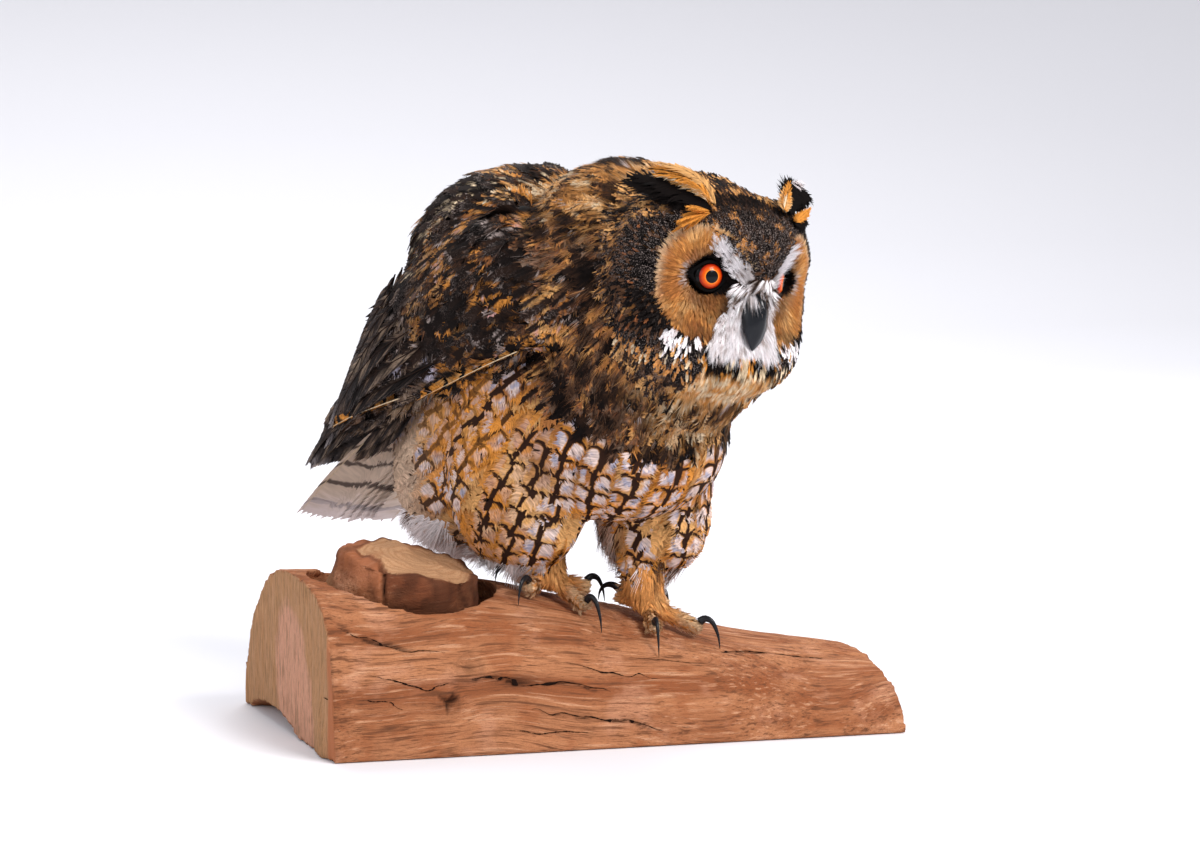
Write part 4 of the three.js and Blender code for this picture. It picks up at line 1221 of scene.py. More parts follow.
def makeFlight(side, sign, seed, dice, finish):
    coat = Coat(f"flight_{side}_feathers", dice)
    outward = (-0.15, sign * 0.9, 0.3)
    vaneSides = lambda upper, lower: (upper, lower) if sign > 0 else (lower, upper)
    feathers = []  # line, way the vane faces, width, leaf, warmth, white tips and bars
    for k in range(9):  # primaries, the lowest first
        low = np.array(wingLook["primary"], float)
        low[-1] += [0.9 * k * k, -0.4 * k, 0]
        shift = np.array([0, -0.3, 0.9]) * (2.9 * k) * (1 - np.linspace(0, 1, 7)[:, None] * 0.5)
        low = smoothLine(low, 6) + shift + np.array([0, 1, 0.2]) * (1.2 - 0.15 * k)
        leaf, bold = vaneSides(1.0, 0.3 if k == 0 else 0.55), k in (1, 2)
        feathers.append((low * [1, sign, 1], (-0.2, 0.8 * sign, 0.45), wingLook["primaryWidth"], leaf,
                         0.9 if bold else 0.0, 0.15, 0.9 if bold else 0.3))
    for low in wingLook["under"]:
        low = smoothLine(low, 6) * [1, sign, 1]
        feathers.append((low, (-0.15, 0.95 * sign, 0.1), wingLook["flightWidth"], vaneSides(0.95, 0.85),
                         0.0, 0.2, 0.35))
    for k in range(9):  # secondaries and tertials
        low = wingSpot(np.linspace(0.42 + 0.02 * k, 0.965 - 0.012 * k, 6), 0.1 + 0.09 * k, sign, 1.2 + 0.25 * k)
        feathers.append((low, outward, wingLook["flightWidth"], (0.9, 0.9), 0.0, 0.35, 0.25))
    _, _, widths, _, warm, pale, bars = zip(*feathers)
    count = len(feathers)
    shape = vane(60, waist=0.42, inner=0.75, taper=0.97)
    separate = [freePaths([line], [up]) for line, up, *_ in feathers]
    halves = [grown(path, shape, feather[2], (0, 0.4), seed + 7 + k, 0.1, 0.03, 0.05, leaf=feather[3], splits=0.015)
              for k, (path, feather) in enumerate(zip(separate, feathers))]
    paths = tuple(np.concatenate(parts) for parts in zip(*separate))
    made = np.concatenate(halves)
    drawnOut = [0.25, 1, 1]
    tints = "black 0.42 slate 0.54 darkBrown 0.6 greyBrown 0.7 greyBuff"
    streaky = coat.patched(made * drawnOut, (paths[0] * drawnOut,), 4.0, 3.3, tints, 1.0)
    spots = np.stack([np.linspace(0.3, 0.7, count), np.full(count, 0.985)], 1)
    coat.add(made, shape, spots, varied(streaky, dice, 0.1), plumage["black"], 0, warm, bars, pale)
    shape = quill(12, 0.05)
    made = grown(paths, shape, widths, (0.25, 0.5), 1, cup=0, ragged=0, tilt=0)
    coat.add(made, shape, spots, plumage["darkBrown"])
    # the leading edge: two cream quills, with orange and black barred vanes over them
    for k, edge in enumerate(wingLook["leading"]):
        path = freePaths([np.array(edge, float) * [1, sign, 1]], [outward])
        shape = vane(40, waist=0.3, inner=0.7, taper=0.97)
        made = grown(path, shape, wingLook["vaneWidths"][k], (2.2, 3.0), seed + 9, tilt=0.02,
                     leaf=vaneSides(1.0, 0.12), splits=0.02)
        color = coat.patched(made, path, 7.0, 9.1, "orange 0.46 sand 0.52 black 0.62 orange", 1, 0)
        coat.add(made, shape, (0.5, 0.5), color, plumage["black"], bars=1.0)
        shape = quill(14, wingLook["quills"][k])
        made = grown(path, shape, 7.0, (2.4, 3.2), 1, cup=0, ragged=0, tilt=0)
        coat.add(made, shape, (0.5, 0.5), plumage["cream"])
    coat.make(finish, "feather_dark", f"primaries_{side}")


def makeWings():
    covertFinish = featherFinish("wingCoverts", streak=True, mottle=0.5, fleck=1.0, strands=38)
    flightFinish = featherFinish("flightVanes", bars=6.0, fleck=0.9, mottle=0.5, tip=True, strands=150)
    for side, sign in sides.items():
        dice = np.random.default_rng(61 + sign)
        makeCoverts(side, sign, 61 + sign, dice, covertFinish)
        makeFlight(side, sign, 61 + sign, dice, flightFinish)


makeWings()

# tail: twelve feathers, the outermost lowest
tailLook = {"width": 12.5, "bars": 9.0, "quill": 0.05}


def makeTail():
    coat = Coat("tail_feathers", 111)
    lines, leaves = [], []
    for sign in (-1, 1):
        for i in range(6):
            x = sign * (1 - 0.17 * i)
            bow = 1 - x * x
            s = np.array([24, 37, 37, 33]) * x
            f = np.array([-66, -112, -160, -207 - 9.5 * bow])
            u = np.array([104, 95, 64, 27]) + np.array([0, 2, 3, 3]) * bow - np.array([0, 3, 5, 6]) * x
            u = u - np.array([0, 0, 2, 8]) * bow
            lines.append(np.stack([f, s, u], 1) + np.array([-0.45, 0, 0.9]) * (0.6 * i))
            leaves.append(((2.0, 1.5, 1.3, 1.1, 1.0, 0.9)[i], 0.28 + 0.06 * i)[::sign])
    count = 12
    paths = freePaths(lines, [(-0.48, 0.14, 0.87)] * count)
    shape = vane(64, waist=0.24, inner=0.8, taper=0.98)
    made = np.concatenate([
        grown([a[k : k + 1] for a in paths], shape, tailLook["width"], (0, 0.3), 112 + k, cup=0.015, ragged=0.01,
              tilt=0.0, leaf=leaves[k], splits=0.004) for k in range(count)
    ])
    color = varied(np.broadcast_to(plumage["tail"], (count, 3)), coat.dice, 0.03)
    spots = np.stack([np.linspace(0.3, 0.7, count), np.full(count, 0.01)], 1)
    coat.add(made, shape, spots, color, plumage["tailBar"], bars=0.9, pale=0.8)
    shape = quill(12, tailLook["quill"])
    made = grown(paths, shape, tailLook["width"], (0.0, 0.2), 1, cup=0, ragged=0, tilt=0)
    coat.add(made, shape, spots, plumage["cream"] * 0.9)
    finish = featherFinish("tailVanes", bars=tailLook["bars"], barWidth=0.6, tip=True, strands=90, depth=0.4)
    coat.make(finish, "feather_grey", "tail")


makeTail()

# underparts: rows of feathers with a dark shaft, arms across and pale spots, over plain soft ones
underLook = {
    "across": 15.6, "along": 4.8, "length": 25.0, "width": 10.6,
    "plainSpacing": 4.8, "plainLength": 22, "plainWidth": 6.4,
}


def underTone(points, dice):
    x, _, z = points.T
    color = blotched(points, 18.0, 8.8, "orange 0.42 tawny 0.56 sand", dice)
    hot = ramp(x, -92, -70) * ramp(x, 0, -24) * ramp(z, 84, 100)
    dusk = ramp(x, -30, 0) * ramp(z, 74, 100) * ramp(softNoise(points, 12.0, 3.0)[:, 0], 0.38, 0.6)
    pale = np.clip(ramp(z, 30, 12) * 0.8 + ramp(-x, 70, 92), 0, 1)
    for amount, tint in ((dusk * 0.6, "rust"), (hot * 0.55, "orange"), (pale * 0.85, "beige")):
        color = mixed(amount, color, plumage[tint])
    return varied(color, dice, 0.07), pale, hot


def makeUnder():
    coat = Coat("down_coat", 71)
    dice = coat.dice
    roots = scatter(inUnder, underLook["plainSpacing"], 71)
    color, pale, _ = underTone(roots[0], dice)
    shape = vane(14, inner=0.4)
    made, *_ = coat.comb(roots, shape, underLook["plainLength"] + 8 * pale, (0.8, 1.25), underLook["plainWidth"],
                         (0.8, 1.2), (-1.8, 0.1), 72, swing=0.14, base=-4.0, ragged=0.13)
    coat.add(made, shape, roots[2], color)
    coat.make(featherFinish("plainFeathers", strands=34), "feather_tawny")

    coat = Coat("breast_coat", dice)
    points, steps, numbers = tracedRows(inUnder & ~inVent, underLook["across"], underLook["along"], 73)
    count = len(points)
    offset = dice.normal(0, 0.8, count)
    rowDice = dice.random((numbers.max() + 1, 4))[numbers]
    places, normals, hits = onForm(points)
    color, pale, hot = underTone(points, dice)
    shape = vane(24, inner=0.66)
    made, _, lengths, width = coat.comb(
        (places, normals), shape, underLook["length"], (0.9, 1.15), underLook["width"], (0.9, 1.12), (0.3, 1.1), 74,
        bodyLie, 4, 0.03, -3.0, ragged=0.045, tilt=0.03)
    mark = mixed(ramp(-points[:, 0], 10, 90) * 0.75, plumage["shaft"], plumage["brown"])
    mark = mixed(pale * 0.3, mark, plumage["greyBrown"])
    x = shape["across"][None] * width[:, None] + offset[:, None]
    v = steps[:, None] + rowDice[:, :1] * 40 + shape["along"][None] * lengths[:, None]
    arms = np.clip(1.0 - hot * 0.5, 0, 1)
    shafts = np.clip(1.05 - hot * 0.4 * (rowDice[:, 1] > 0.4), 0, 1)
    whites = np.clip(0.97 - hot * 0.55, 0, 1) * np.where(rowDice[:, 2] > 0.12, 1, 0.3)
    coat.add(made, shape, formMap[hits].mean(1), color, mark, dice.uniform(0.4, 0.68, count), bars=arms, pale=whites,
             streak=shafts, plan=np.stack([x, v], -1))
    coat.make(featherFinish("breastFeathers", rows=True, strands=50), "feather_tawny")


makeUnder()

# loose wisps under the belly, behind the thighs and off the chest
wispLook = {"spacing": 3.4, "length": 21.0, "width": (3, 6), "hang": (2, 9)}


def makeWisps():
    coat = Coat("wisps", 121)
    dice = coat.dice
    low = inUnder & ((high < 30) | (inVent & (high < 42)))
    low |= (owner == "thigh_left") & (ahead < 4) & (high < 66)
    roots = scatter(low, wispLook["spacing"], 121)
    points = roots[0]
    shape = strands(9, 0.05, 12)
    made, *_ = coat.comb(roots, shape, wispLook["length"], (0.6, 1.3), 1, wispLook["width"], (0.5, 5.0), 122,
                         swing=0.25, base=-1.5, cup=0, ragged=0.12, swell=1.5)
    hang = ramp(shape["along"], 0.2, 1.0)[None, :, None] * dice.uniform(*wispLook["hang"], (len(points), 1, 1))
    made = made + hang * np.array([-0.3, 0, -1.0])  # loose ends hang down
    color, pale, _ = underTone(points, dice)
    color = mixed(np.clip(ramp(points[:, 2], 60, 30) + pale, 0, 1) * 0.85, color, plumage["white"])
    gap = (points[:, 0] > -46) & (points[:, 1] > 0)  # dark tips where the legs part
    color[dice.random(len(points)) > np.where(gap, 0.6, 0.94)] = plumage["brown"]
    coat.add(made, shape, roots[2], color)
    coat.make(featherFinish("wispStrands", strands=9), "feather_tawny")


makeWisps()

# legs and toes: short soft tufts
legLook = {"spacing": 1.45, "length": 7.5, "width": 1.2, "feet": ((11, 20, 0.0), (-21, -20, 9.0))}


def fromFoot(points):  # the way from the nearer foot
    first, second = (points - foot for foot in legLook["feet"])
    nearer = np.linalg.norm(first, axis=1) < np.linalg.norm(second, axis=1)
    return np.where(nearer[:, None], first, second)


def legLie(points, normals):
    out = fromFoot(points)
    height = out[:, 2]
    out = out * [1, 1, 0]
    spread = ramp(np.linalg.norm(out, axis=1), 8, 14) * ramp(height, 20, 12)
    return mixed(spread, np.array([[-0.05, 0, -1.0]]), unit(out))


def makeLegs():
    coat = Coat("leg_coat", 81)
    roots = scatter(onTarsus | onToe, legLook["spacing"], 81)
    points = roots[0]
    gap = np.linalg.norm(fromFoot(points)[:, :2], axis=1)
    color = np.broadcast_to(plumage["leg"], points.shape)
    for amount, tint in (
        (ramp(gap, 11, 18) * 0.6, "cream"), (ramp(softNoise(points, 10.0)[:, 0], 0.45, 0.7) * 0.4, "buff"),
        (ramp(gap, 20, 26) * 0.4, "greyBrown"),
    ):
        color = mixed(amount, color, plumage[tint])
    length = legLook["length"] * (1.15 - 0.45 * ramp(gap, 9, 18))
    rise = lambda count: coat.dice.uniform(0.3, 2.0, count) * (1 + 0.5 * ramp(gap, 10, 15))
    shape = strands(6, 0.13, 5)
    made, *_ = coat.comb(roots, shape, length, (0.75, 1.2), legLook["width"], (0.8, 1.3), rise, 82, legLie, 2, 0.2,
                         cup=0.0, ragged=0.12)
    coat.add(made, shape, roots[2], varied(color, coat.dice))
    coat.make(featherFinish("legTufts", strands=6), "feather_leg")


makeLegs()

# skin: the form shrunk by the coat's depth
coatDepth = {"head": 1.8, "neck": 4.0, "trunk": 4.0, "thigh": 4.0, "tarsus": 1.4, "toe": 0.9, "wing": 1.6}


def makeSkin():
    count = len(formPoints)
    depth = gathered(np.array([coatDepth[name.split("_")[0]] for name in owner]), count)
    depth /= np.maximum(gathered(1, count), 1)
    edges = fetched(skin.data.edges, "vertices", 2)
    for _ in range(12):  # evens the depth out between neighbours
        total, shares = depth.copy(), np.ones(count)
        for a, b in (edges.T, edges.T[::-1]):
            np.add.at(total, a, depth[b])
            np.add.at(shares, a, 1)
        depth = total / shares
    setPositions(skin.data, toRow(formPoints - pointNormals * depth[:, None]))
    dice = np.random.default_rng(91)
    touched = lambda mask: np.isin(np.arange(count), formFaces[mask].ravel())
    tone = blotched(formPoints, 10.0, 1.7, "black 0.46 darkBrown 0.56 brown 0.66 tawny", dice, 0.02)
    below, face = touched(inUnder), touched(inDisc | isPale)
    below |= touched(onWing) & (edgeHeight(formPoints) < -3)
    # the skin shows only between the feathers, so its colours are darkened here (x0.85, x0.9, x0.75) as painted shade
    # under the coat
    tone[below] = underTone(formPoints[below], dice)[0] * 0.85
    tone[touched(onTarsus | onToe)] = plumage["leg"] * 0.9
    zone = faceZones(toHead(formPoints))
    light = np.clip(zone["brow"] + zone["lores"] + zone["beard"], 0, 1)
    faceTone = mixed(light, plumage["rufous"], plumage["greyPale"])
    tone[face] = mixed(zone["patch"], faceTone, plumage["black"])[face] * 0.75
    setAttribute(skin.data, "tone", quad(tone, 1))
    f = Finish("skinDown", roughness=0.85, specular=0.15)
    where = f.object()
    # blotchy darkening down to half: painted shade under the coat
    dark = f.step(f.noise(where, 90.0, 4.0, 0.6), 0.35, 0.65, 0.5, 1.0)
    down = f.noise(f.stretched(where, (1, 1, 0.35)), 900.0, 3.0, 0.6)
    skin.data.materials.append(f.done(f.shaded(f.attribute("tone")[0], dark), down, 0.6, 0.0006))
    settle(skin, "feather_mottled", *fleshNodes)


makeSkin()
print("skin made")

# eyes, lids, bill and claws
eyeLook = {"iris": 42.5, "pupil": 20.0, "spots": {"left": (21.5, 19.8, -0.6), "right": (25.5, -21.2, 0.0)},
           "gaze": {"left": (0.70, 0.71, 0.05), "right": (0.95, -0.28, 0.09)},
           "lidRadius": 6.9, "lidThick": 1.05}


def eyeToRow(side, places):  # from an eye's own axes, with Z where it looks
    look = unit(np.array(eyeLook["gaze"][side]) @ headAxes.T)
    outer = np.array([-0.25, sides[side] * 1.0, 0.02]) @ headAxes.T
    across = unit(outer - outer @ look * look)
    return toRow(places @ np.array([across, np.cross(look, across), look]) + fromHead(eyeLook["spots"][side]))


def makeEye(side):
    activate()
    bpy.ops.mesh.primitive_uv_sphere_add(segments=64, ring_count=48, radius=eyeSize)
    eye = bpy.context.object
    eye.name = f"eye_{side}_ball"
    places = positions(eye.data)
    share = places[:, 2] / eyeSize
    places *= (1 + 0.05 * ramp(share, 0.62, 0.85))[:, None]  # the cornea stands out a little
    setPositions(eye.data, eyeToRow(side, places))
    setAttribute(eye.data, "facing", quad(np.stack([share] * 3, 1), 1))
    f = Finish(f"eye{side.title()}Glass", roughness=0.14, specular=0.12, coat=0.1)
    facing = f.attribute("facing")[2]
    iris, pupil = math.cos(math.radians(eyeLook["iris"])), math.cos(math.radians(eyeLook["pupil"]))
    rays = f.noise(f.object(), 1100.0, 3.0, 0.6)
    ring = f.mix(f.step(facing, iris + 0.02, pupil - 0.03), paint(138, 20, 4), paint(222, 84, 12))
    ring = f.mix(f.step(facing, pupil - 0.04, pupil - 0.02), ring, paint(242, 132, 36))
    ring = f.mix(rays * 0.35, ring, paint(150, 40, 10))
    color = f.mix(f.step(facing, iris - 0.01, iris + 0.012), plumage["black"] * 0.2, ring)
    eye.data.materials.append(f.done(f.mix(f.step(facing, pupil - 0.012, pupil), color, (0.003, 0.003, 0.004))))
    settle(eye, "eye", f"eye_{side}")


def makeLid(side):
    activate()
    ring = {"major_radius": eyeLook["lidRadius"], "minor_radius": eyeLook["lidThick"]}
    bpy.ops.mesh.primitive_torus_add(major_segments=56, minor_segments=14, **ring)
    lid = bpy.context.object
    lid.name = f"eye_{side}_lid"
    places = positions(lid.data)
    places[:, 2] = places[:, 2] * 0.9 + 5.0
    pull = ramp(places[:, 0], 2.5, 8.0)  # the outer corner runs to a point
    places += pull[:, None] * [3.0, 0, -2.2]
    places[:, 1] *= 1 - 0.55 * pull
    inward = ramp(-places[:, 0], 3.0, 8.0)
    places[:, 0] -= inward * 1.2
    places[:, 1] *= 1 - 0.3 * inward
    setPositions(lid.data, eyeToRow(side, places))
    edited(lid, bpy.ops.mesh.normals_make_consistent, inside=False)
    f = Finish(f"lid{side.title()}", roughness=0.9, specular=0.05)
    folds = f.noise(f.object(), 1600.0, 3.0)
    lid.data.materials.append(f.done(f.mix(folds, (0.0015, 0.0015, 0.0015), (0.006, 0.005, 0.005)), folds, 0.5, 0.0003))
    settle(lid, "horn")


for side in sides:
    makeEye(side)
for side in sides:
    makeLid(side)


def hornFinish(name, tint):
    f = Finish(name, roughness=0.3, specular=0.2, coat=0.1)
    where = f.object()
    cloud = f.noise(where, 160.0, 4.0, 0.6)
    lines = f.noise(f.stretched(where, (1, 1, 0.15)), 1500.0)
    color = f.mix(cloud, tint, [part * 2.6 for part in tint])
    return f.done(color, lines, 0.25, 0.0002, f.step(cloud, 0.3, 0.7, 0.24, 0.4))


def lofted(name, rings, finish):  # a closed skin over a run of rings, in bird millimetres
    count, size = rings.shape[:2]
    points = np.concatenate([rings.reshape(-1, 3), rings[0].mean(0)[None], rings[-1].mean(0)[None]])
    faces = tubeFaces(count - 1, size)
    for k in range(size):
        a, b = k, (k + 1) % size
        faces += [(b, a, count * size), (a + (count - 1) * size, b + (count - 1) * size, count * size + 1)]
    faces = np.array(faces)
    corners = points[faces] - points.mean(0)
    if np.einsum("ij,ij->", corners[:, 0], np.cross(corners[:, 1], corners[:, 2])) < 0:
        faces = faces[:, ::-1]
    return meshFrom(name, toRow(points), faces, finish)


hornLook = {
    "ridge": [(36, 3), (44, -2.5), (48.6, -10), (50, -17.5), (49, -24.5), (46.8, -29.5), (45.6, -32)],  # ahead and up
    "edge": [(30, -13), (33, -17), (36.5, -21), (40.2, -24.6), (43.4, -27.8), (45, -30.4), (45.4, -32.2)],
    "halfWidths": [8.2, 8.3, 7.7, 6.6, 4.7, 2.3, 0.3],
    "claw": [(0, 0), (0.3, 2.0), (0.66, 2.0), (0.93, -0.6), (1.03, -5.4)],  # share of its reach, and millimetres up
    "clawThick": 1.95, "billTint": (0.0035, 0.004, 0.0055), "clawTint": (0.004, 0.004, 0.005),
}


def makeBill(finish):
    ridge, edge = smoothLine(hornLook["ridge"], 36), smoothLine(hornLook["edge"], 36)
    half = np.interp(np.linspace(0, 6, 37), range(7), hornLook["halfWidths"])
    turn = np.linspace(0, 2 * np.pi, 24, endpoint=False)
    share = (1 + np.cos(turn)) / 2  # 1 on the ridge, 0 under it
    side = np.sin(turn) * (0.62 + 0.38 * np.sin(np.pi * np.clip(share * 1.15, 0, 1)))
    side = np.where(share < 0.2, side * (0.55 + share * 2.25), side)
    flat = edge[:, None] * (1 - share[None, :, None]) + ridge[:, None] * share[None, :, None]
    rings = np.stack([flat[..., 0], half[:, None] * side[None], flat[..., 1]], -1)
    settle(lofted("upper_bill_horn", fromHead(rings), finish), "horn", "upper_bill")
    lower = copyOf("lower_bill", "lower_bill_horn")
    applyModifier(lower, "SUBSURF", levels=2, render_levels=2)
    lower.data.shade_smooth()
    lower.data.materials.append(finish)
    settle(lower, "horn", "lower_bill")


def makeClaw(node, finish):
    claw, toe = (copyOf(name, name + "_copy") for name in (node, node.replace("claw", "toe")))
    points, centre = toBird(positions(claw.data)), toBird(positions(toe.data)).mean(0)
    for spare in (claw, toe):
        bpy.data.objects.remove(spare)
    tip = points[np.argmax(np.linalg.norm(points - centre, axis=1))]
    base = points[np.argsort(-np.linalg.norm(points - tip, axis=1))[:6]].mean(0)
    reach = (tip - base) * [1, 1, 0]
    drop = tip[2] - base[2]
    line = [base + reach * share + [0, 0, lift + (drop + 5.4) * share**3] for share, lift in hornLook["claw"]]
    line = smoothLine(line, 16)
    ways = unit(np.gradient(line, axis=0))
    side = unit(np.cross(ways, [0, 0, 1.0]))
    up = np.cross(side, ways)
    turn = np.linspace(0, 2 * np.pi, 12, endpoint=False)[None, :, None]
    thick = hornLook["clawThick"] * (1 - np.linspace(0, 1, 17) ** 1.15 * 0.92)[:, None, None]
    rings = line[:, None] + (side[:, None] * np.cos(turn) * 0.82 + up[:, None] * np.sin(turn) * 1.15) * thick
    settle(lofted(node + "_horn", rings, finish), "horn", node)


makeBill(hornFinish("billHorn", hornLook["billTint"]))
clawHorn = hornFinish("clawHorn", hornLook["clawTint"])
for side in sides:
    for toe in toes:
        makeClaw(f"claw_{side}_{toe}", clawHorn)
print("eyes, bill and claws made")

# log: barkless wood with long wavy grain, drying cracks, knots and a sawn branch stub
logLook = {
    "voxel": 0.00138,
    "grain": 0.7,
    "stub": ((-87, -10), (36, 29), (43, 36), 5.0),  # centre, half sizes, the hollow round it, its place forward
    "cracks": [  # row millimetres, then width and depth
        ([(-135, -67, 66), (-120.6, -69.1, 60), (-103, -70.5, 55), (-90, -71.5, 53.5)], 0.7, 1.6),
        ([(-67, -75.5, 38), (-58.7, -75, 39.4), (-43.4, -75.1, 35), (-18.4, -74, 33.4), (-4, -74.7, 30)], 0.45, 1.6),
        ([(-33, -78.2, 20.5), (-3.6, -79.1, 15.4), (10, -79, 13.4), (24, -78.4, 9.5)], 0.4, 1.4),
        ([(66, -46, 41), (88.9, -41, 38), (121, -37.9, 34), (138, -36, 29)], 0.7, 1.4),
        ([(-84, -78.5, 31), (-79.9, -78.5, 27), (-76, -78.5, 30)], 0.9, 3.0),
        ([(-81, -78.5, 22), (-79.9, -78.5, 27), (-78, -78.5, 33)], 0.8, 2.6),
        ([(-158, 20, 44), (-156, 24, 37), (-157, 30, 30)], 1.2, 4.0),
    ],
    "thin": [  # hairline drying cracks, drawn as dark slivers of painted shade, with their half width
        ([(-135, -67, 66), (-120.6, -69.1, 60), (-103, -70.5, 55), (-80, -71.5, 53)], 0.35),
        ([(-69, -75.5, 38.5), (-58.7, -75, 39.6), (-43.4, -75.1, 35.3), (-18.4, -74, 33.6), (4, -74.7, 28.5)], 0.5),
        ([(-38, -78.2, 22), (-3.6, -79.1, 15.6), (10, -79, 13.5), (30, -78.4, 8.5)], 0.42),
        ([(60, -47, 43), (88.9, -41, 38.2), (121, -37.9, 34), (142, -36, 28.5)], 0.35),
        ([(-136, -62, 30), (-118, -72, 30), (-104, -75, 26)], 0.3),
        ([(-120, -72, 42), (-96, -77, 36), (-78, -78, 37)], 0.3),
        ([(18, -62, 44), (44, -58, 38), (70, -56, 34)], 0.25),
        ([(-20, -70, 44), (6, -70, 38), (34, -70, 34)], 0.25),
        ([(-50, -77, 12), (-30, -78, 10), (-6, -78, 9)], 0.3),
    ],
    "knots": [((-68.6, -74, 44), 9.0), ((-79.9, -78.5, 27), 7.0)],
    "holes": [((-117, -33, 81), 1.6), ((-112, -35.5, 79), 1.3), ((-108.5, -38, 86), 0.9)],
}


def carvedWood(mesh):  # moves the log's surface and says what each point is: sawn end, sawn stub, bark wall, and its darkening (painted shade in cracks, holes and hollows, with the knots' own dark)
    points, normals = positions(mesh) * 1000, positions(mesh, "normal")
    px, py, pz = points.T
    grain = lambda size, shift, stretch=(1, 1, 1), k=0: softNoise(points * stretch, size, shift)[:, k]
    (midX, midY), half, hollow, forward = logLook["stub"]
    end = ramp(-normals[:, 0], 0.7, 0.88) * ramp(-px, 124, 132)
    stub = np.hypot((px - midX) / half[0], (py - midY) / half[1])
    around = np.hypot((px - midX) / hollow[0], (py - midY + forward) / hollow[1])
    sawnFace = np.hypot((px - midX - 5) / (half[0] * 0.84), (py - midY + 1) / (half[1] * 0.84))
    sawnFace = sawnFace + (grain(11.0, 6.0) - 0.5) * 0.36
    level = normals @ unit(np.array([0.20, -0.17, 0.96]))  # how squarely a point faces up the stub
    top = ramp(level, 0.88, 0.96) * ramp(sawnFace, 1.04, 0.98) * ramp(pz, 72, 78)
    wall = ramp(stub, 1.1, 1.02) * ramp(pz, 56, 64) * (1 - top)
    side = np.clip(1 - end - top, 0, 1) * ramp(pz, 0.5, 3)
    # grain, bent round the knots
    knots = [(np.linalg.norm(points - place, axis=1) / size) for place, size in logLook["knots"]]
    swirl = bell(np.minimum(*knots), 1.8)
    wave = points * [0.05, 1, 1] + (softNoise(points, 60.0, 2.0) - 0.5) * [2.0, 30, 30] + swirl[:, None] * [0.6, 3, 3]
    ridges = softNoise(wave, 5.0, 1.0)[:, 0] + 0.5 * softNoise(wave, 2.2, 3.0)[:, 0] - 0.75
    height = side * (ridges * logLook["grain"] * 1.7 + (grain(22.0, 5.0, (0.3, 1, 1)) - 0.5) * 2.0)
    fibres = grain(3.2, 7.0, (1, 1, 0.12)) + 0.5 * grain(1.6, 4.0, (1, 1, 0.12)) - 0.75
    broken = ramp(-py, 30, 62) * ramp(pz, 34, 10)  # splintered foot of the sawn end
    height += end * (fibres * 1.5 + broken * (grain(9.0, 6.0, (1, 1, 0.4), 1) - 0.35) * 5.0)
    height += top * (grain(3.0, 8.0, (0.2, 1, 1)) - 0.5) * 0.9
    rough = ramp(stub, 1.2, 0.9) * ramp(pz, 58, 68)
    height += rough * ((grain(14.0, 2.5) - 0.5) * 7 + (grain(5.0, 2.5, (1, 1, 0.4)) - 0.5) * 3)
    # darkening gathered here: painted shade in the cracks, holes, pocket, split and the moat round the stub, the knots'
    # own dark, and the stub wall darker towards its foot, along its rim and in blotches
    shadeAndDarkWood = []
    for line, wide, deep in logLook["cracks"]:
        line = smoothLine(line, 24)
        gap, along = lineGap(points, line + (softNoise(line, 6.0, 4.0) - 0.5) * 2.4)
        slim = np.sin(np.pi * (0.08 + 0.84 * along)) ** 0.6
        cut = bell(gap, wide * slim + 0.2)
        height -= cut * deep * slim
        shadeAndDarkWood.append(cut)
    for gap in knots:
        height += np.exp(-((gap - 0.9) ** 2) / 0.08) * 1.1 - bell(gap, 0.45) * 2.0
        shadeAndDarkWood.append(0.5 * bell(gap, 0.4) + 0.22 * np.exp(-((gap - 0.75) ** 2) / 0.02))
    pocket = np.exp(-(((px + 44) / 12) ** 2 + ((pz - 36) / 3.2) ** 2)) * ramp(-py, 60, 68)
    split = bell(px + 105, 0.9) * wall * ramp(-py, 24, 32)
    height -= pocket * 1.6 + split * 3.5
    for place, size in logLook["holes"]:
        gap = np.linalg.norm(points - place, axis=1) / size
        height -= bell(gap) * 2.5
        shadeAndDarkWood.append(0.95 * bell(gap, 1.1))
    moat = ramp(around, 1.14, 1.0) * ramp(stub, 0.96, 1.04) * ramp(pz, 52, 60) * (1 - top)
    shadeAndDarkWood += [pocket * 0.55, split, moat * ramp(pz, 76, 64) * 0.85, wall * ramp(pz, 70, 62) * 0.6,
               wall * bell(sawnFace - 1.06, 0.06) * 0.55, wall * ramp(grain(7.0, 9.0, k=1), 0.55, 0.72) * 0.5]
    setPositions(mesh, (points + normals * height[:, None]) / 1000)
    setAttribute(mesh, "region", np.stack([end, top, wall, np.max(shadeAndDarkWood, 0)], 1))
    setAttribute(mesh, "flow", quad(wave / 60 + 4, 1))


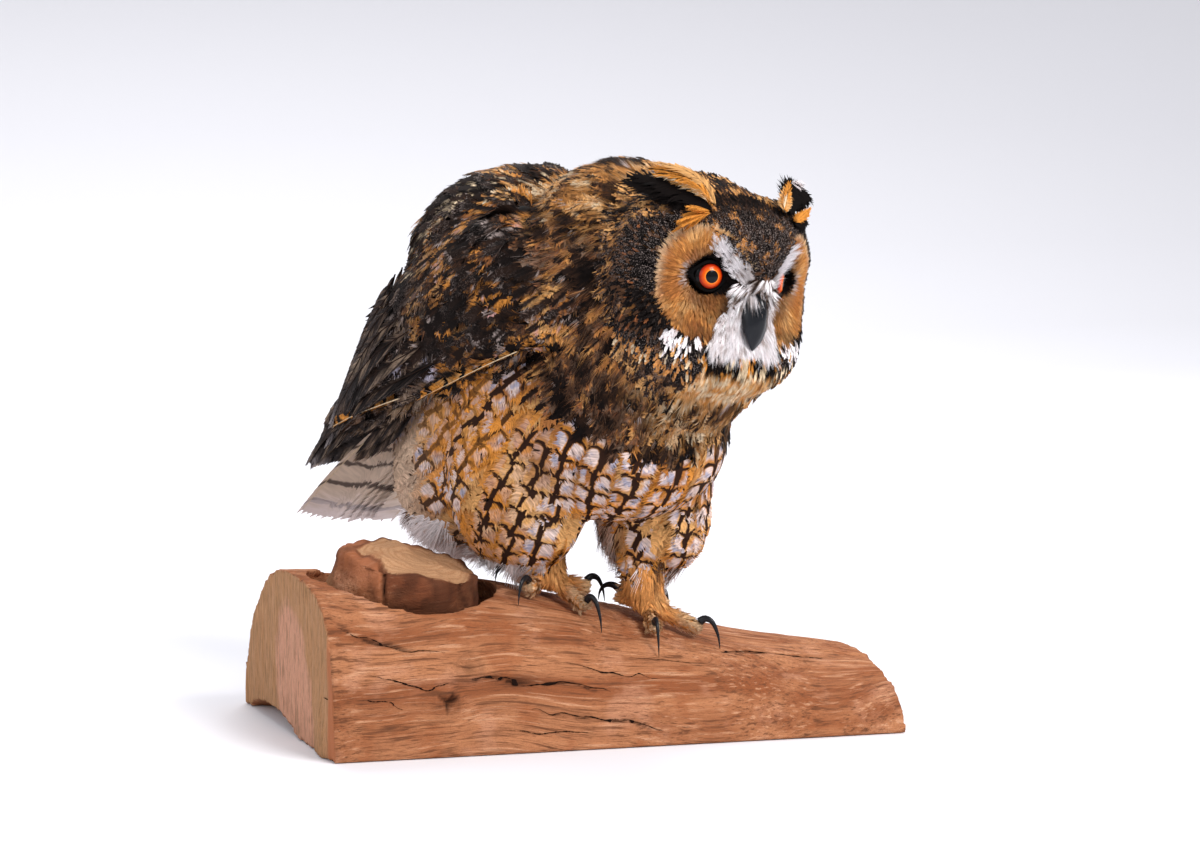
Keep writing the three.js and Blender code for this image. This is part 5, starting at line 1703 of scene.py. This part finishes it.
def woodFinish():
    f = Finish("oldWood", roughness=0.85, specular=0.15)
    where = f.object()
    _, region, _, shade = f.attribute("region")
    end, top, wall = f.parts(region)
    flow = f.attribute("flow")[1]
    broad, lines, hair = f.noise(flow, 3.2, 4.0, 0.6), f.noise(flow, 26.0, 4.0, 0.62), f.noise(flow, 70.0, 3.0, 0.65)
    fine = f.noise(f.stretched(where, (0.12, 1, 1)), 2600.0, 3.0, 0.6)
    speck, blotch = f.noise(where, 1400.0, 3.0, 0.7), f.noise(where, 38.0, 3.0, 0.55)
    color = f.mix(f.step(broad, 0.36, 0.62), paint(143, 84, 52), paint(182, 122, 84))
    color = f.washed(
        color, (blotch, 0.54, 0.68, 0.35, (206, 152, 122)), (blotch, 0.46, 0.34, 0.55, (150, 84, 48)),
        (lines, 0.47, 0.33, 0.85, (100, 61, 40)), (hair, 0.46, 0.32, 0.75, (92, 56, 38)),
        (lines, 0.54, 0.7, 0.65, (214, 162, 126)), (fine, 0.46, 0.36, 0.45, (118, 72, 48)),
        (speck, 0.44, 0.34, 0.3, (100, 62, 42)))
    # sawn end: pinkish heart like a flame, olive-tan outer wood, upright fibres
    x, y, z = f.parts(where)
    heart = broad * 0.9 + ((y - (z * 0.22 - 0.017)) * 32.0) ** 2.0 + ((z - 0.016) * 19.0) ** 2.0
    fibre = f.noise(f.stretched(where, (1, 1, 0.09)), 900.0, 4.0, 0.65)
    thread = f.noise(f.stretched(where, (1, 1, 0.06)), 2600.0, 3.0, 0.6)
    sawn = f.washed(
        f.mix(f.step(heart, 1.6, 1.2), paint(186, 138, 98), paint(212, 156, 128)),
        (fibre, 0.5, 0.38, 0.6, (134, 104, 72)), (fibre, 0.54, 0.68, 0.4, (216, 172, 136)),
        (thread, 0.44, 0.34, 0.45, (112, 84, 58)), (y, -0.068, -0.073, 1.0, (184, 114, 76)))
    # sawn stub: rings round its own heart
    ring = f.math("SQRT", ((x + 0.084) * 26.0) ** 2.0 + ((y + 0.012) * 40.0) ** 2.0)
    ring = f.math("SINE", (blotch * 0.35 + ring) * 60.0)
    cut = f.mix(f.step(ring, -0.4, 0.9) * 0.5, paint(192, 148, 110), paint(168, 120, 84))
    cut = f.washed(cut, (speck, 0.48, 0.36, 0.5, (136, 94, 64)), (blotch, 0.52, 0.66, 0.5, (160, 106, 70)))
    bark = f.mix(f.step(x, -0.106, -0.102), paint(156, 94, 62), paint(100, 54, 35))
    # the region's fourth number darkens the wood: painted shade in cracks, holes and hollows, with the knots' own dark
    for share, tint in ((end, sawn), (top, cut), (wall * 0.75, bark), (shade * 0.9, paint(40, 24, 17))):
        color = f.mix(share, color, tint)
    height = fibre * end * 3.0 + lines * 1.4 + hair * 0.8 + speck * 0.5 + fine
    return f.done(color, height, 0.8, 0.0007)


def makeLog():
    log = copyOf("log", "log_wood")
    applyModifier(log, "REMESH", mode="VOXEL", voxel_size=logLook["voxel"])
    applyModifier(log, "SMOOTH", factor=0.5, iterations=2)
    carvedWood(log.data)
    log.data.materials.append(woodFinish())
    settle(log, "wood", "log")
    print("log", len(log.data.polygons), "faces")
    return log.data


def makeCracks(mesh):  # jagged dark slivers lying on the wood: painted shade of hairline cracks
    tree = BVHTree.FromPolygons(positions(mesh).tolist(), fetched(mesh.polygons, "vertices", 4).tolist())
    dice = np.random.default_rng(301)
    points, faces = [], []
    for line, wide in logLook["thin"]:
        line = smoothLine(line, 70)
        line = line + (softNoise(line, 7.0, 4.0) - 0.5) * [1, 1, 3.0]
        count = len(line)
        side = np.cross(np.gradient(line, axis=0), [0, -1, 0.3])
        slim = np.sin(np.pi * (0.02 + 0.96 * np.linspace(0, 1, count))) ** 0.7
        reach = wide * slim * dice.uniform(0.45, 1.3, count)
        start = len(points)
        for i in range(count):
            for way in (-1, 1):
                spot = (line[i] + unit(side[i]) * way * reach[i] * dice.uniform(0.7, 1.2)) / 1000
                near, normal, _, _ = tree.find_nearest(Vector(spot))
                points.append(np.array(near) * 1000 + np.array(normal) * 0.3)
        for i in range(start, start + 2 * count - 2, 2):
            faces += [(i, i + 1, i + 3), (i, i + 3, i + 2)]
    points, faces = np.array(points), np.array(faces)
    outward = np.cross(points[faces[:, 1]] - points[faces[:, 0]], points[faces[:, 2]] - points[faces[:, 0]])
    if outward[:, 1].mean() > 0:  # the cracks face the way the wood does
        faces = faces[:, ::-1]
    f = Finish("crackShade", roughness=0.95, specular=0.05)
    settle(meshFrom("wood_crack_shade", points / 1000, faces, f.done(paint(26, 15, 11))), "wood", "log")
    print("cracks", len(faces), "faces")


makeCracks(makeLog())

low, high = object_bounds()
